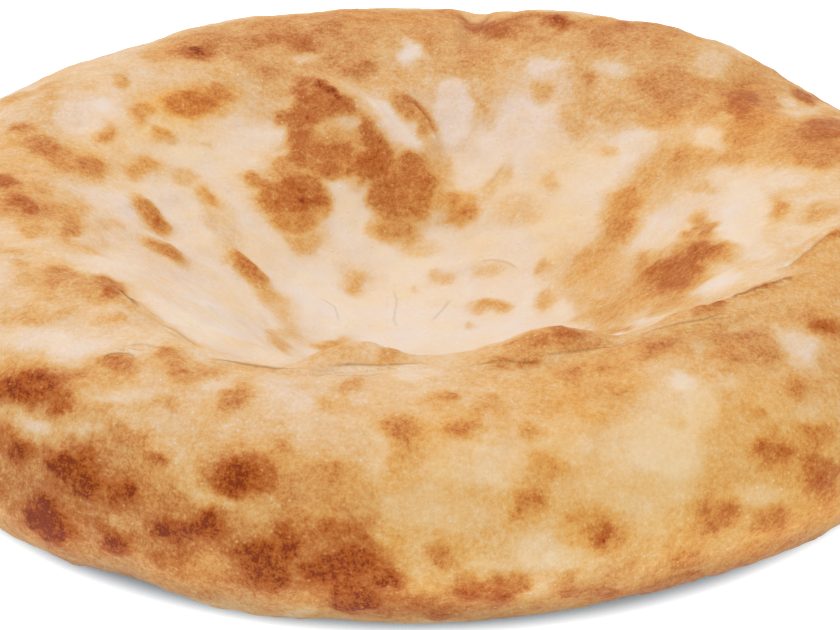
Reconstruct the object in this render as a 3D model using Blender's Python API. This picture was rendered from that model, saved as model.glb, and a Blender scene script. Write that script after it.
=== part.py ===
"""Round tandoor bread: one loaf with a puffed rim round a dished middle.

All sizes are in metres and +Z is up. The loaf lies on its flat underside at Z = 0, and the
origin is in the middle of that underside. A place on the crust is given by two numbers: its
bearing, in degrees round the loaf from +X towards +Y, and its reach, which is the length of
crust from the middle of the dish, over the crest of the rim and down the wall to the foot.
"""

import math

import bmesh
import bpy
import numpy as np

# ---------------------------------------------------------------- driving sizes
LOAF_NAME = "round_tandoor_bread"
BREAD_NODE = "bread"

REACH_CREST = 0.118
REACH_WIDE = 0.164
REACH_FOOT = 0.196
DISH_FLOOR_HEIGHT = 0.013
WALL_SQUARENESS = 2.25

# Bearing: radius of the crest, of the widest ring and of the foot, height of the crest and of
# the widest ring, and the part of the dish, from its middle, that is flat.
RIM_STATIONS = {
    0: (0.113, 0.150, 0.129, 0.0560, 0.021, 0.12),
    45: (0.112, 0.150, 0.129, 0.0575, 0.021, 0.12),
    90: (0.111, 0.148, 0.127, 0.0565, 0.021, 0.18),
    135: (0.112, 0.149, 0.128, 0.0555, 0.021, 0.10),
    180: (0.113, 0.150, 0.129, 0.0560, 0.021, 0.05),
    225: (0.112, 0.149, 0.126, 0.0560, 0.023, 0.15),
    270: (0.110, 0.1475, 0.126, 0.0555, 0.022, 0.40),
    315: (0.112, 0.1498, 0.127, 0.0560, 0.023, 0.25),
}

# A fold is a long ridge: its stations (bearing, reach), its height, and the widths of its
# steep side, on the left of its path, and of its gentle side.
FOLDS = {
    "long_fold": (
        ((113, 0.098), (106, 0.088), (100, 0.080), (96, 0.072), (90, 0.063), (82, 0.055), (74, 0.046)),
        0.0055, 0.0035, 0.017),
    "short_fold": (((97, 0.095), (92, 0.085), (89, 0.077), (86, 0.070), (84, 0.060)), 0.0035, 0.0030, 0.010),
    "front_roll": (
        ((250, 0.107), (256, 0.105), (264, 0.103), (275, 0.102), (290, 0.103), (302, 0.107)),
        0.0032, 0.0060, 0.0065),
    "front_right_roll": (
        ((298, 0.110), (306, 0.111), (313, 0.113), (320, 0.115), (327, 0.119), (334, 0.122)),
        0.0024, 0.0028, 0.012),
    "right_fold": (((329, 0.110), (335, 0.113), (341, 0.117), (347, 0.121)), 0.0022, 0.0030, 0.009),
    "left_fold": (
        ((212, 0.114), (218, 0.110), (222, 0.106), (227, 0.106), (232, 0.111)),
        0.0028, 0.0030, 0.009),
    "front_left_fold": (((233, 0.114), (238, 0.116), (243, 0.119)), 0.0018, 0.0025, 0.007),
}

# A crease is a long furrow: its stations (bearing, reach), its depth and its half-width.
CREASES = {
    "back_notch": (((80, 0.100), (81, 0.114), (82, 0.126), (83, 0.142)), 0.0036, 0.0042),
    "far_right_step": (((36, 0.104), (37, 0.116), (38, 0.128), (39, 0.144)), 0.0014, 0.0040),
    "front_crease": (((242, 0.120), (248, 0.119), (254, 0.118), (259, 0.115), (266, 0.113)), 0.0013, 0.0020),
    "lip_crease": (((276, 0.112), (282, 0.114), (288, 0.117), (293, 0.112), (302, 0.113)), 0.0014, 0.0022),
}

# A blister is an oval dome: bearing, reach, half-length round the loaf, half-length along the
# reach, turn in degrees, and height.
BLISTERS = {
    "lip_left": (259.8, 0.105, 0.0115, 0.008, 0, 0.0038),
    "lip_right": (288, 0.105, 0.0145, 0.009, 0, 0.0037),
    "right_slope_low": (352, 0.072, 0.010, 0.012, 20, 0.0022),
    "right_slope_high": (346, 0.084, 0.010, 0.007, 0, 0.0022),
    "fold_foot_left": (126, 0.062, 0.012, 0.011, 0, 0.0016),
    "fold_foot_right": (84, 0.054, 0.012, 0.011, 0, 0.0018),
    "left_slope_high": (172, 0.078, 0.004, 0.010, -12, 0.0016),
    "left_slope_middle": (184, 0.074, 0.004, 0.009, -12, 0.0014),
    "left_slope_low": (172, 0.051, 0.004, 0.012, -20, 0.0018),
    "left_rim_large": (207, 0.128, 0.012, 0.009, 0, 0.0016),
    "left_rim_small": (226, 0.118, 0.007, 0.006, 0, 0.0012),
    "wall_front_left": (238, 0.160, 0.014, 0.012, 0, 0.0014),
    "wall_front_high": (250, 0.150, 0.014, 0.012, 0, 0.0014),
    "wall_front_low": (246, 0.176, 0.014, 0.012, 0, 0.0008),
    "wall_front_right": (318, 0.150, 0.014, 0.012, 0, 0.0012),
    "back_rim_left": (122, 0.120, 0.012, 0.009, 0, 0.0010),
    "back_rim_right": (70, 0.124, 0.016, 0.010, 0, 0.0018),
    "floor": (30, 0.024, 0.006, 0.005, 0, 0.0012),
}

# A swell is a broad rise or fall: bearing, reach, half-width round the loaf, half-length along
# the reach, and rise.
SWELLS = {
    "back_right": (56, 0.124, 0.020, 0.024, 0.0023),
    "far_right": (33, 0.126, 0.022, 0.020, -0.0052),
    "front_right": (285, 0.112, 0.020, 0.016, -0.0008),
    "back_middle": (90, 0.122, 0.020, 0.022, -0.0016),
    "back_low": (82, 0.122, 0.014, 0.022, -0.0012),
    "back_far_left": (111, 0.122, 0.012, 0.022, 0.0008),
    "front_left_foot": (241, 0.170, 0.012, 0.024, -0.0018),
    "front_foot": (255, 0.170, 0.014, 0.024, 0.0024),
    "front_right_foot": (296, 0.170, 0.020, 0.024, -0.0018),
    "back_left": (99, 0.124, 0.012, 0.020, 0.0014),
    "front_left": (245, 0.103, 0.019, 0.014, -0.0036),
    "far_left": (150, 0.122, 0.022, 0.022, 0.0021),
}

# The whole crust undulates a little: wavelength, height and seed of each layer of hills.
UNDULATIONS = ((0.050, 0.0005, 11), (0.021, 0.0002, 12))
WAVES_IN_A_LAYER = 28
WAVELENGTH_SPREAD = 0.3

# Relief fades out between this reach and the foot, so that the underside stays flat.
REACH_FADE = 0.184

# A blister's dome ends at this many squares of its half-lengths.
DOME_EDGE = 2.2

# How a path is drawn through its stations, and the part of its length over which it fades.
PATH_STEPS = 6
CORNER_ROUNDING = 4
FADE_SHARE = 0.3

# The cage: squares along one edge of the cube, and the share of the cage above the foot.
CAGE_SQUARES = 29
UPPER_SHARE = 0.9
SLOPE_STEP = 0.001

CRUST_COLOUR = (0.76, 0.47, 0.22, 1.0)
CRUST_ROUGHNESS = 0.68


# ---------------------------------------------------------------- plain form
def around_the_rim(bearing):
    """Columns of RIM_STATIONS at each bearing, joined by a smooth closed curve."""
    keys = sorted(RIM_STATIONS)
    values = np.array([RIM_STATIONS[key] for key in keys])
    place = np.mod(bearing, 360.0) * len(keys) / 360.0
    first = np.floor(place).astype(int) % len(keys)
    part = (place - np.floor(place))[:, None]
    before, start, end, after = (values[(first + offset) % len(keys)] for offset in (-1, 0, 1, 2))
    linear = end - before
    square = 2 * before - 5 * start + 4 * end - after
    cubic = 3 * start - before - 3 * end + after
    return 0.5 * (2 * start + linear * part + square * part ** 2 + cubic * part ** 3)


def ease(share):
    """Smooth step from 0 to 1."""
    share = np.clip(share, 0, 1)
    return share * share * (3 - 2 * share)


def plain_crust(bearing, reach):
    """Points of the loaf before any folds, for arrays of bearings and reaches."""
    crest, widest, foot, crest_height, widest_height, flat = around_the_rim(bearing).T
    inner = np.clip(reach / REACH_CREST, 0, 1)
    dish_height = DISH_FLOOR_HEIGHT + (crest_height - DISH_FLOOR_HEIGHT) * ease((inner - flat) / (1 - flat))

    shoulder = np.clip((reach - REACH_CREST) / (REACH_WIDE - REACH_CREST), 0, 1) * math.pi / 2
    power = 2 / WALL_SQUARENESS
    shoulder_radius = crest + (widest - crest) * np.sin(shoulder) ** power
    shoulder_height = widest_height + (crest_height - widest_height) * np.abs(np.cos(shoulder)) ** power

    under = np.clip((reach - REACH_WIDE) / (REACH_FOOT - REACH_WIDE), 0, 1) * math.pi / 2
    under_radius = foot + (widest - foot) * np.cos(under)
    under_height = widest_height * (1 - np.sin(under))

    zones = [reach <= REACH_CREST, reach <= REACH_WIDE]
    radius = np.select(zones, [crest * inner, shoulder_radius], under_radius)
    height = np.select(zones, [dish_height, shoulder_height], under_height)
    angle = np.radians(bearing)
    return np.stack([radius * np.cos(angle), radius * np.sin(angle), height], axis=-1)


def outward(bearing, reach):
    """Unit normals of the plain form, pointing out of the loaf."""
    reach = np.maximum(reach, 2 * SLOPE_STEP)
    turn = np.degrees(SLOPE_STEP / reach)
    sideways = plain_crust(bearing + turn, reach) - plain_crust(bearing - turn, reach)
    outwards = plain_crust(bearing, reach + SLOPE_STEP) - plain_crust(bearing, reach - SLOPE_STEP)
    normal = np.cross(outwards, sideways)
    return normal / np.linalg.norm(normal, axis=-1, keepdims=True)


# ---------------------------------------------------------------- relief
def smooth_path(stations):
    """Points and normals of a path through its stations, with its corners rounded."""
    bearing, reach = np.array(stations, dtype=float).T
    steps = PATH_STEPS * (len(stations) - 1) + 1
    place = np.linspace(0, len(stations) - 1, steps)
    bearing = np.interp(place, range(len(stations)), bearing)
    reach = np.interp(place, range(len(stations)), reach)
    for _ in range(CORNER_ROUNDING):
        bearing[1:-1] = (bearing[:-2] + 2 * bearing[1:-1] + bearing[2:]) / 4
        reach[1:-1] = (reach[:-2] + 2 * reach[1:-1] + reach[2:]) / 4
    return plain_crust(bearing, reach), outward(bearing, reach)


def beside_path(points, stations):
    """Distance from a path, positive on its left, and a strength that fades at both ends."""
    line, normals = smooth_path(stations)
    nearest = np.full(len(points), np.inf)
    aside = np.full(len(points), np.inf)
    for start, end, normal in zip(line[:-1], line[1:], normals[:-1]):
        run = end - start
        part = np.clip((points - start) @ run / (run @ run), 0, 1)
        gap = points - start - part[:, None] * run
        distance = np.linalg.norm(gap, axis=1)
        on_left = gap @ np.cross(normal, run) >= 0
        closer = distance < nearest
        nearest[closer] = distance[closer]
        aside[closer] = np.where(on_left, distance, -distance)[closer]
    fade_length = FADE_SHARE * np.linalg.norm(np.diff(line, axis=0), axis=1).sum()
    first = (line[2] - line[0]) / np.linalg.norm(line[2] - line[0])
    last = (line[-1] - line[-3]) / np.linalg.norm(line[-1] - line[-3])
    rise = (points - line[0]) @ first / fade_length
    fall = (line[-1] - points) @ last / fade_length
    return aside, ease(rise) * ease(fall)


def fold_relief(points):
    """Height of the folds: each is steep on one side and gentle on the other."""
    relief = np.zeros(len(points))
    for stations, height, steep, gentle in FOLDS.values():
        aside, strength = beside_path(points, stations)
        width = np.where(aside > 0, steep, gentle)
        relief += height * strength * np.exp(-(aside / width) ** 2)
    return relief


def crease_relief(points):
    """Depth of the creases, as a negative height."""
    relief = np.zeros(len(points))
    for stations, depth, width in CREASES.values():
        aside, strength = beside_path(points, stations)
        relief -= depth * strength * np.exp(-(aside / width) ** 2)
    return relief


def oval_spread(points, bearing, reach, half_around, half_along, turn):
    """Square of the distance from the middle of an oval lying on the crust, 1 on its edge."""
    middle = plain_crust(np.array([bearing]), np.array([reach]))[0]
    normal = outward(np.array([bearing]), np.array([reach]))[0]
    around = np.cross((0.0, 0.0, 1.0), middle)
    around /= np.linalg.norm(around)
    along = np.cross(normal, around)
    lean = math.radians(turn)
    first = math.cos(lean) * around + math.sin(lean) * along
    second = math.cos(lean) * along - math.sin(lean) * around
    offset = points - middle
    flat_spread = (offset @ first / half_around) ** 2 + (offset @ second / half_along) ** 2
    return flat_spread + (offset @ normal / max(half_around, half_along)) ** 2


def blister_relief(points):
    """Height of the blisters, each a low dome."""
    relief = np.zeros(len(points))
    for bearing, reach, half_around, half_along, turn, height in BLISTERS.values():
        spread = oval_spread(points, bearing, reach, half_around, half_along, turn)
        relief += height * np.clip(1 - spread / DOME_EDGE, 0, 1) ** 2
    return relief


def swell_relief(points):
    """Height of the broad swells of the rim."""
    relief = np.zeros(len(points))
    for bearing, reach, half_around, half_along, rise in SWELLS.values():
        relief += rise * np.exp(-oval_spread(points, bearing, reach, half_around, half_along, 0))
    return relief


def undulation(points, wavelength, seed):
    """Random smooth hills of about one wavelength, alike in all directions."""
    chance = np.random.default_rng(seed)
    hills = np.zeros(len(points))
    for _ in range(WAVES_IN_A_LAYER):
        heading = chance.normal(size=3)
        spread = chance.uniform(1 - WAVELENGTH_SPREAD, 1 + WAVELENGTH_SPREAD)
        heading *= 2 * math.pi * spread / (wavelength * np.linalg.norm(heading))
        hills += np.cos(points @ heading + chance.uniform(0, 2 * math.pi))
    return hills * math.sqrt(2 / WAVES_IN_A_LAYER)


def crust(bearing, reach):
    """Points of the finished crust, for arrays of bearings and reaches."""
    points = plain_crust(bearing, reach)
    relief = fold_relief(points) + crease_relief(points) + blister_relief(points) + swell_relief(points)
    for wavelength, height, seed in UNDULATIONS:
        relief += height * undulation(points, wavelength, seed)
    relief *= np.clip((REACH_FOOT - reach) / (REACH_FOOT - REACH_FADE), 0, 1)
    points += outward(bearing, reach) * relief[:, None]
    points[:, 2] = np.maximum(points[:, 2], 0)
    return points


# ---------------------------------------------------------------- mesh
def ball_of_quads(squares):
    """A cube cut into even squares, and the direction of each of its corners."""
    ball = bmesh.new()
    bmesh.ops.create_cube(ball, size=2.0)
    bmesh.ops.subdivide_edges(ball, edges=ball.edges[:], cuts=squares - 1, use_grid_fill=True)
    bmesh.ops.recalc_face_normals(ball, faces=ball.faces[:])
    corners = np.array([vert.co[:] for vert in ball.verts])
    corners = np.tan(corners * math.pi / 4)
    return ball, corners / np.linalg.norm(corners, axis=1, keepdims=True)


def wrap_the_loaf(direction):
    """Point of the loaf for each direction of the ball: the crust above, the underside below."""
    share = (1 - direction[:, 2]) / 2
    bearing = np.degrees(np.arctan2(direction[:, 1], direction[:, 0]))
    reach = REACH_FOOT * np.sqrt(np.minimum(share / UPPER_SHARE, 1))
    points = crust(bearing, reach)
    inwards = np.sqrt(np.clip((1 - share) / (1 - UPPER_SHARE), 0, 1))
    points[:, :2] *= inwards[:, None]
    middle = (points.min(axis=0) + points.max(axis=0)) / 2
    points[:, :2] -= middle[:2]
    return points


def baked_crust():
    """Wheat crust baked on a hot clay wall: matt, golden, without a glaze."""
    material = bpy.data.materials.new("baked_crust")
    material.use_nodes = True
    shader = material.node_tree.nodes["Principled BSDF"]
    shader.inputs["Base Color"].default_value = CRUST_COLOUR
    shader.inputs["Roughness"].default_value = CRUST_ROUGHNESS
    shader.inputs["Metallic"].default_value = 0.0
    return material


def make_bread(collection):
    """The loaf, one closed body from crest to underside."""
    ball, direction = ball_of_quads(CAGE_SQUARES)
    for vert, point in zip(ball.verts, wrap_the_loaf(direction)):
        vert.co = point
    mesh = bpy.data.meshes.new(BREAD_NODE)
    ball.to_mesh(mesh)
    ball.free()
    mesh.materials.append(baked_crust())
    mesh.shade_smooth()
    bread = bpy.data.objects.new(BREAD_NODE, mesh)
    collection.objects.link(bread)
    return bread


def clear_scene():
    """Remove what the scene starts with."""
    for item in list(bpy.data.objects):
        bpy.data.objects.remove(item)


def main():
    clear_scene()
    collection = bpy.data.collections.new(LOAF_NAME)
    bpy.context.scene.collection.children.link(collection)
    make_bread(collection)


main()
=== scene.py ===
"""Looks of a round tandoor bread: the blistered wheat crust, and a plain studio round it.

The file is laid out as a Blender add-on and run as a script. All sizes are in metres. A place
on the crust is its bearing, in degrees round the loaf from +X towards +Y, and its reach, the
length of crust from the middle of the dish, over the crest and down the wall to the foot.
The browned marks are placed by where they lie in an 840 x 630 picture of the loaf, taken by
this scene's own camera, and each is then laid on the crust that the camera sees there.
"""

import math

import bmesh
import bpy
import numpy as np
from bpy.props import FloatProperty, FloatVectorProperty, IntProperty, PointerProperty
from mathutils import Matrix, Vector
from mathutils.bvhtree import BVHTree


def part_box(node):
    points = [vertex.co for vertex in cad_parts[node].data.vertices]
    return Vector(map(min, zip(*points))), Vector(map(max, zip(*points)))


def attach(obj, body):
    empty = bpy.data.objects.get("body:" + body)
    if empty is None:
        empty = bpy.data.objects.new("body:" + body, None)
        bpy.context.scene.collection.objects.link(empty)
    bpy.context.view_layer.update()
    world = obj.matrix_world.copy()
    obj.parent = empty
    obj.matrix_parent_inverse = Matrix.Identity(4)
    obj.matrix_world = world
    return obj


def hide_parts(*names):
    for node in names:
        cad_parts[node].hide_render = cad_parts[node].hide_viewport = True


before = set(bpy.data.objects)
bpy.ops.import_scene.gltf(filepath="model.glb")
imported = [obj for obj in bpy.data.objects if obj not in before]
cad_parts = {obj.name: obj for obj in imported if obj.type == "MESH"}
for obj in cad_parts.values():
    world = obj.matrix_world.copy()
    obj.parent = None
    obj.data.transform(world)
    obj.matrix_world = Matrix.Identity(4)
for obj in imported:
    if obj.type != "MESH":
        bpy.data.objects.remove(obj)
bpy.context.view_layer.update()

bl_info = {
    "name": "Round Tandoor Bread",
    "version": (1, 0, 0),
    "blender": (4, 5, 0),
    "location": "3D View > Sidebar > Bread",
    "description": "Makes a round tandoor bread with a blistered crust, and a studio round it",
    "category": "Add Mesh",
}

BREAD_NODE = "bread"
BREAD_BODY = "root"
MM = 0.001

# ---------------------------------------------------------------- form of the loaf
REACH_CREST = 0.118
REACH_WIDE = 0.164
REACH_FOOT = 0.196
DISH_FLOOR_HEIGHT = 0.013
WALL_SQUARENESS = 2.25

# Bearing: radius of the crest, of the widest ring and of the foot, height of the crest and of
# the widest ring, and the part of the dish, from its middle, that is flat.
RIM_STATIONS = {
    0: (0.113, 0.150, 0.129, 0.0560, 0.021, 0.12),
    45: (0.112, 0.150, 0.129, 0.0575, 0.021, 0.12),
    90: (0.111, 0.148, 0.127, 0.0565, 0.021, 0.18),
    135: (0.112, 0.149, 0.128, 0.0555, 0.021, 0.10),
    180: (0.113, 0.150, 0.129, 0.0560, 0.021, 0.05),
    225: (0.112, 0.149, 0.126, 0.0560, 0.023, 0.15),
    270: (0.110, 0.1475, 0.126, 0.0555, 0.022, 0.40),
    315: (0.112, 0.1498, 0.127, 0.0560, 0.023, 0.25),
}

# A fold is a long ridge: its stations (bearing, reach), its height, and the widths of its
# steep side, on the left of its path, and of its gentle side.
FOLDS = {
    "long_fold": (
        ((113, 0.098), (106, 0.088), (100, 0.080), (96, 0.072), (90, 0.063), (82, 0.055), (74, 0.046)),
        0.0055, 0.0035, 0.017),
    "short_fold": (
        ((97, 0.095), (92, 0.085), (89, 0.077), (86, 0.070), (84, 0.060)),
        0.0035, 0.0030, 0.010),
    "front_roll": (
        ((250, 0.107), (256, 0.105), (264, 0.103), (275, 0.102), (290, 0.103), (302, 0.107)),
        0.0032, 0.0060, 0.0065),
    "front_right_roll": (
        ((298, 0.110), (306, 0.111), (313, 0.113), (320, 0.115), (327, 0.119), (334, 0.122)),
        0.0024, 0.0028, 0.012),
    "right_fold": (((329, 0.110), (335, 0.113), (341, 0.117), (347, 0.121)), 0.0022, 0.0030, 0.009),
    "left_fold": (
        ((212, 0.114), (218, 0.110), (222, 0.106), (227, 0.106), (232, 0.111)),
        0.0028, 0.0030, 0.009),
    "front_left_fold": (((233, 0.114), (238, 0.116), (243, 0.119)), 0.0018, 0.0025, 0.007),
}

# A crease is a long furrow: its stations (bearing, reach), its depth and its half-width.
CREASES = {
    "back_notch": (((80, 0.100), (81, 0.114), (82, 0.126), (83, 0.142)), 0.0036, 0.0042),
    "far_right_step": (((36, 0.104), (37, 0.116), (38, 0.128), (39, 0.144)), 0.0014, 0.0040),
    "front_crease": (
        ((242, 0.120), (248, 0.119), (254, 0.118), (259, 0.115), (266, 0.113)), 0.0013, 0.0020),
    "lip_crease": (
        ((276, 0.112), (282, 0.114), (288, 0.117), (293, 0.112), (302, 0.113)), 0.0014, 0.0022),
}

# Wrinkles too fine for the solid: stations (bearing, reach), depth and half-width.
WRINKLES = {
    "floor_arc": (((52, 0.036), (64, 0.031), (78, 0.024), (92, 0.018)), 0.0006, 0.0012),
    "floor_low": (((200, 0.030), (235, 0.020), (280, 0.018), (320, 0.024)), 0.0005, 0.0012),
    "left_slope_a": (((196, 0.092), (204, 0.080), (212, 0.070)), 0.0005, 0.0012),
    "left_slope_b": (((150, 0.076), (156, 0.066), (164, 0.056)), 0.0005, 0.0014),
    "rim_front_a": (((248, 0.124), (258, 0.123), (268, 0.121)), 0.0006, 0.0011),
    "rim_right_a": (((300, 0.118), (310, 0.117), (322, 0.120), (334, 0.125)), 0.0004, 0.0011),
    "rim_right_b": (((304, 0.121), (314, 0.121), (326, 0.125)), 0.0003, 0.0011),
    "rim_back": (((96, 0.104), (104, 0.112), (116, 0.118)), 0.0006, 0.0016),
}

# A blister is an oval dome: bearing, reach, half-length round the loaf, half-length along the
# reach, turn in degrees, and height.
BLISTERS = {
    "lip_left": (259.8, 0.105, 0.0115, 0.008, 0, 0.0038),
    "lip_right": (288, 0.105, 0.0145, 0.009, 0, 0.0037),
    "right_slope_low": (352, 0.072, 0.010, 0.012, 20, 0.0022),
    "right_slope_high": (346, 0.084, 0.010, 0.007, 0, 0.0022),
    "fold_foot_left": (126, 0.062, 0.012, 0.011, 0, 0.0016),
    "fold_foot_right": (84, 0.054, 0.012, 0.011, 0, 0.0018),
    "left_slope_high": (172, 0.078, 0.004, 0.010, -12, 0.0016),
    "left_slope_middle": (184, 0.074, 0.004, 0.009, -12, 0.0014),
    "left_slope_low": (172, 0.051, 0.004, 0.012, -20, 0.0018),
    "left_rim_large": (207, 0.128, 0.012, 0.009, 0, 0.0016),
    "left_rim_small": (226, 0.118, 0.007, 0.006, 0, 0.0012),
    "wall_front_left": (238, 0.160, 0.014, 0.012, 0, 0.0014),
    "wall_front_high": (250, 0.150, 0.014, 0.012, 0, 0.0014),
    "wall_front_low": (246, 0.176, 0.014, 0.012, 0, 0.0008),
    "wall_front_right": (318, 0.150, 0.014, 0.012, 0, 0.0012),
    "back_rim_left": (122, 0.120, 0.012, 0.009, 0, 0.0010),
    "back_rim_right": (70, 0.124, 0.016, 0.010, 0, 0.0018),
    "floor": (30, 0.024, 0.006, 0.005, 0, 0.0012),
}

# A swell is a broad rise or fall: bearing, reach, half-width round the loaf, half-length along
# the reach, and rise.
SWELLS = {
    "back_right": (56, 0.124, 0.020, 0.024, 0.0023),
    "far_right": (33, 0.126, 0.022, 0.020, -0.0052),
    "front_right": (285, 0.112, 0.020, 0.016, -0.0008),
    "back_middle": (90, 0.122, 0.020, 0.022, -0.0016),
    "back_low": (82, 0.122, 0.014, 0.022, -0.0012),
    "back_far_left": (111, 0.122, 0.012, 0.022, 0.0008),
    "front_left_foot": (241, 0.170, 0.012, 0.024, -0.0018),
    "front_foot": (255, 0.170, 0.014, 0.024, 0.0024),
    "front_right_foot": (296, 0.170, 0.020, 0.024, -0.0018),
    "back_left": (99, 0.124, 0.012, 0.020, 0.0014),
    "front_left": (245, 0.103, 0.019, 0.014, -0.0036),
    "far_left": (150, 0.122, 0.022, 0.022, 0.0021),
}

# The whole crust undulates a little: wavelength, height and seed of each layer of hills. The
# first two are in the solid too, and the others are too fine for it.
UNDULATIONS = (
    (0.050, 0.0005, 11), (0.021, 0.0002, 12), (0.0095, 0.00010, 13), (0.0052, 0.00005, 14))
WAVES_IN_A_LAYER = 28
WAVELENGTH_SPREAD = 0.3

# Relief fades out between this reach and the foot, so that the underside stays flat.
REACH_FADE = 0.184

# A blister's dome ends where the spread from its middle is this; 1 is on its half-lengths.
DOME_EDGE = 2.2

# At most this many small blisters are tried on a square metre, before their spacing thins them.
BLISTERS_IN_SQUARE_METRE = 160000.0

# How a path is drawn through its stations, and the part of its length over which it fades.
PATH_STEPS = 6
CORNER_ROUNDING = 4
FADE_SHARE = 0.3

# The cage: the share of it above the foot, the share over which the wall's browning gives way to
# the underside's, and the step by which slopes are measured.
UPPER_SHARE = 0.9
UNDERSIDE_EDGE = 0.01
SLOPE_STEP = 0.001

# ---------------------------------------------------------------- camera
# The size of the picture and the lens, in pixels; the point that the camera turns about, and the
# pixel on which it falls.
PICTURE_WIDTH = 840
PICTURE_HEIGHT = 630
FOCAL_PIXELS = 3700
CAMERA_PIVOT = Vector((0.0, 0.0, 0.025))
PIVOT_PIXEL = (416, 284)
SENSOR_WIDTH = 36.0
NEAREST_SEEN = 0.05

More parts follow.
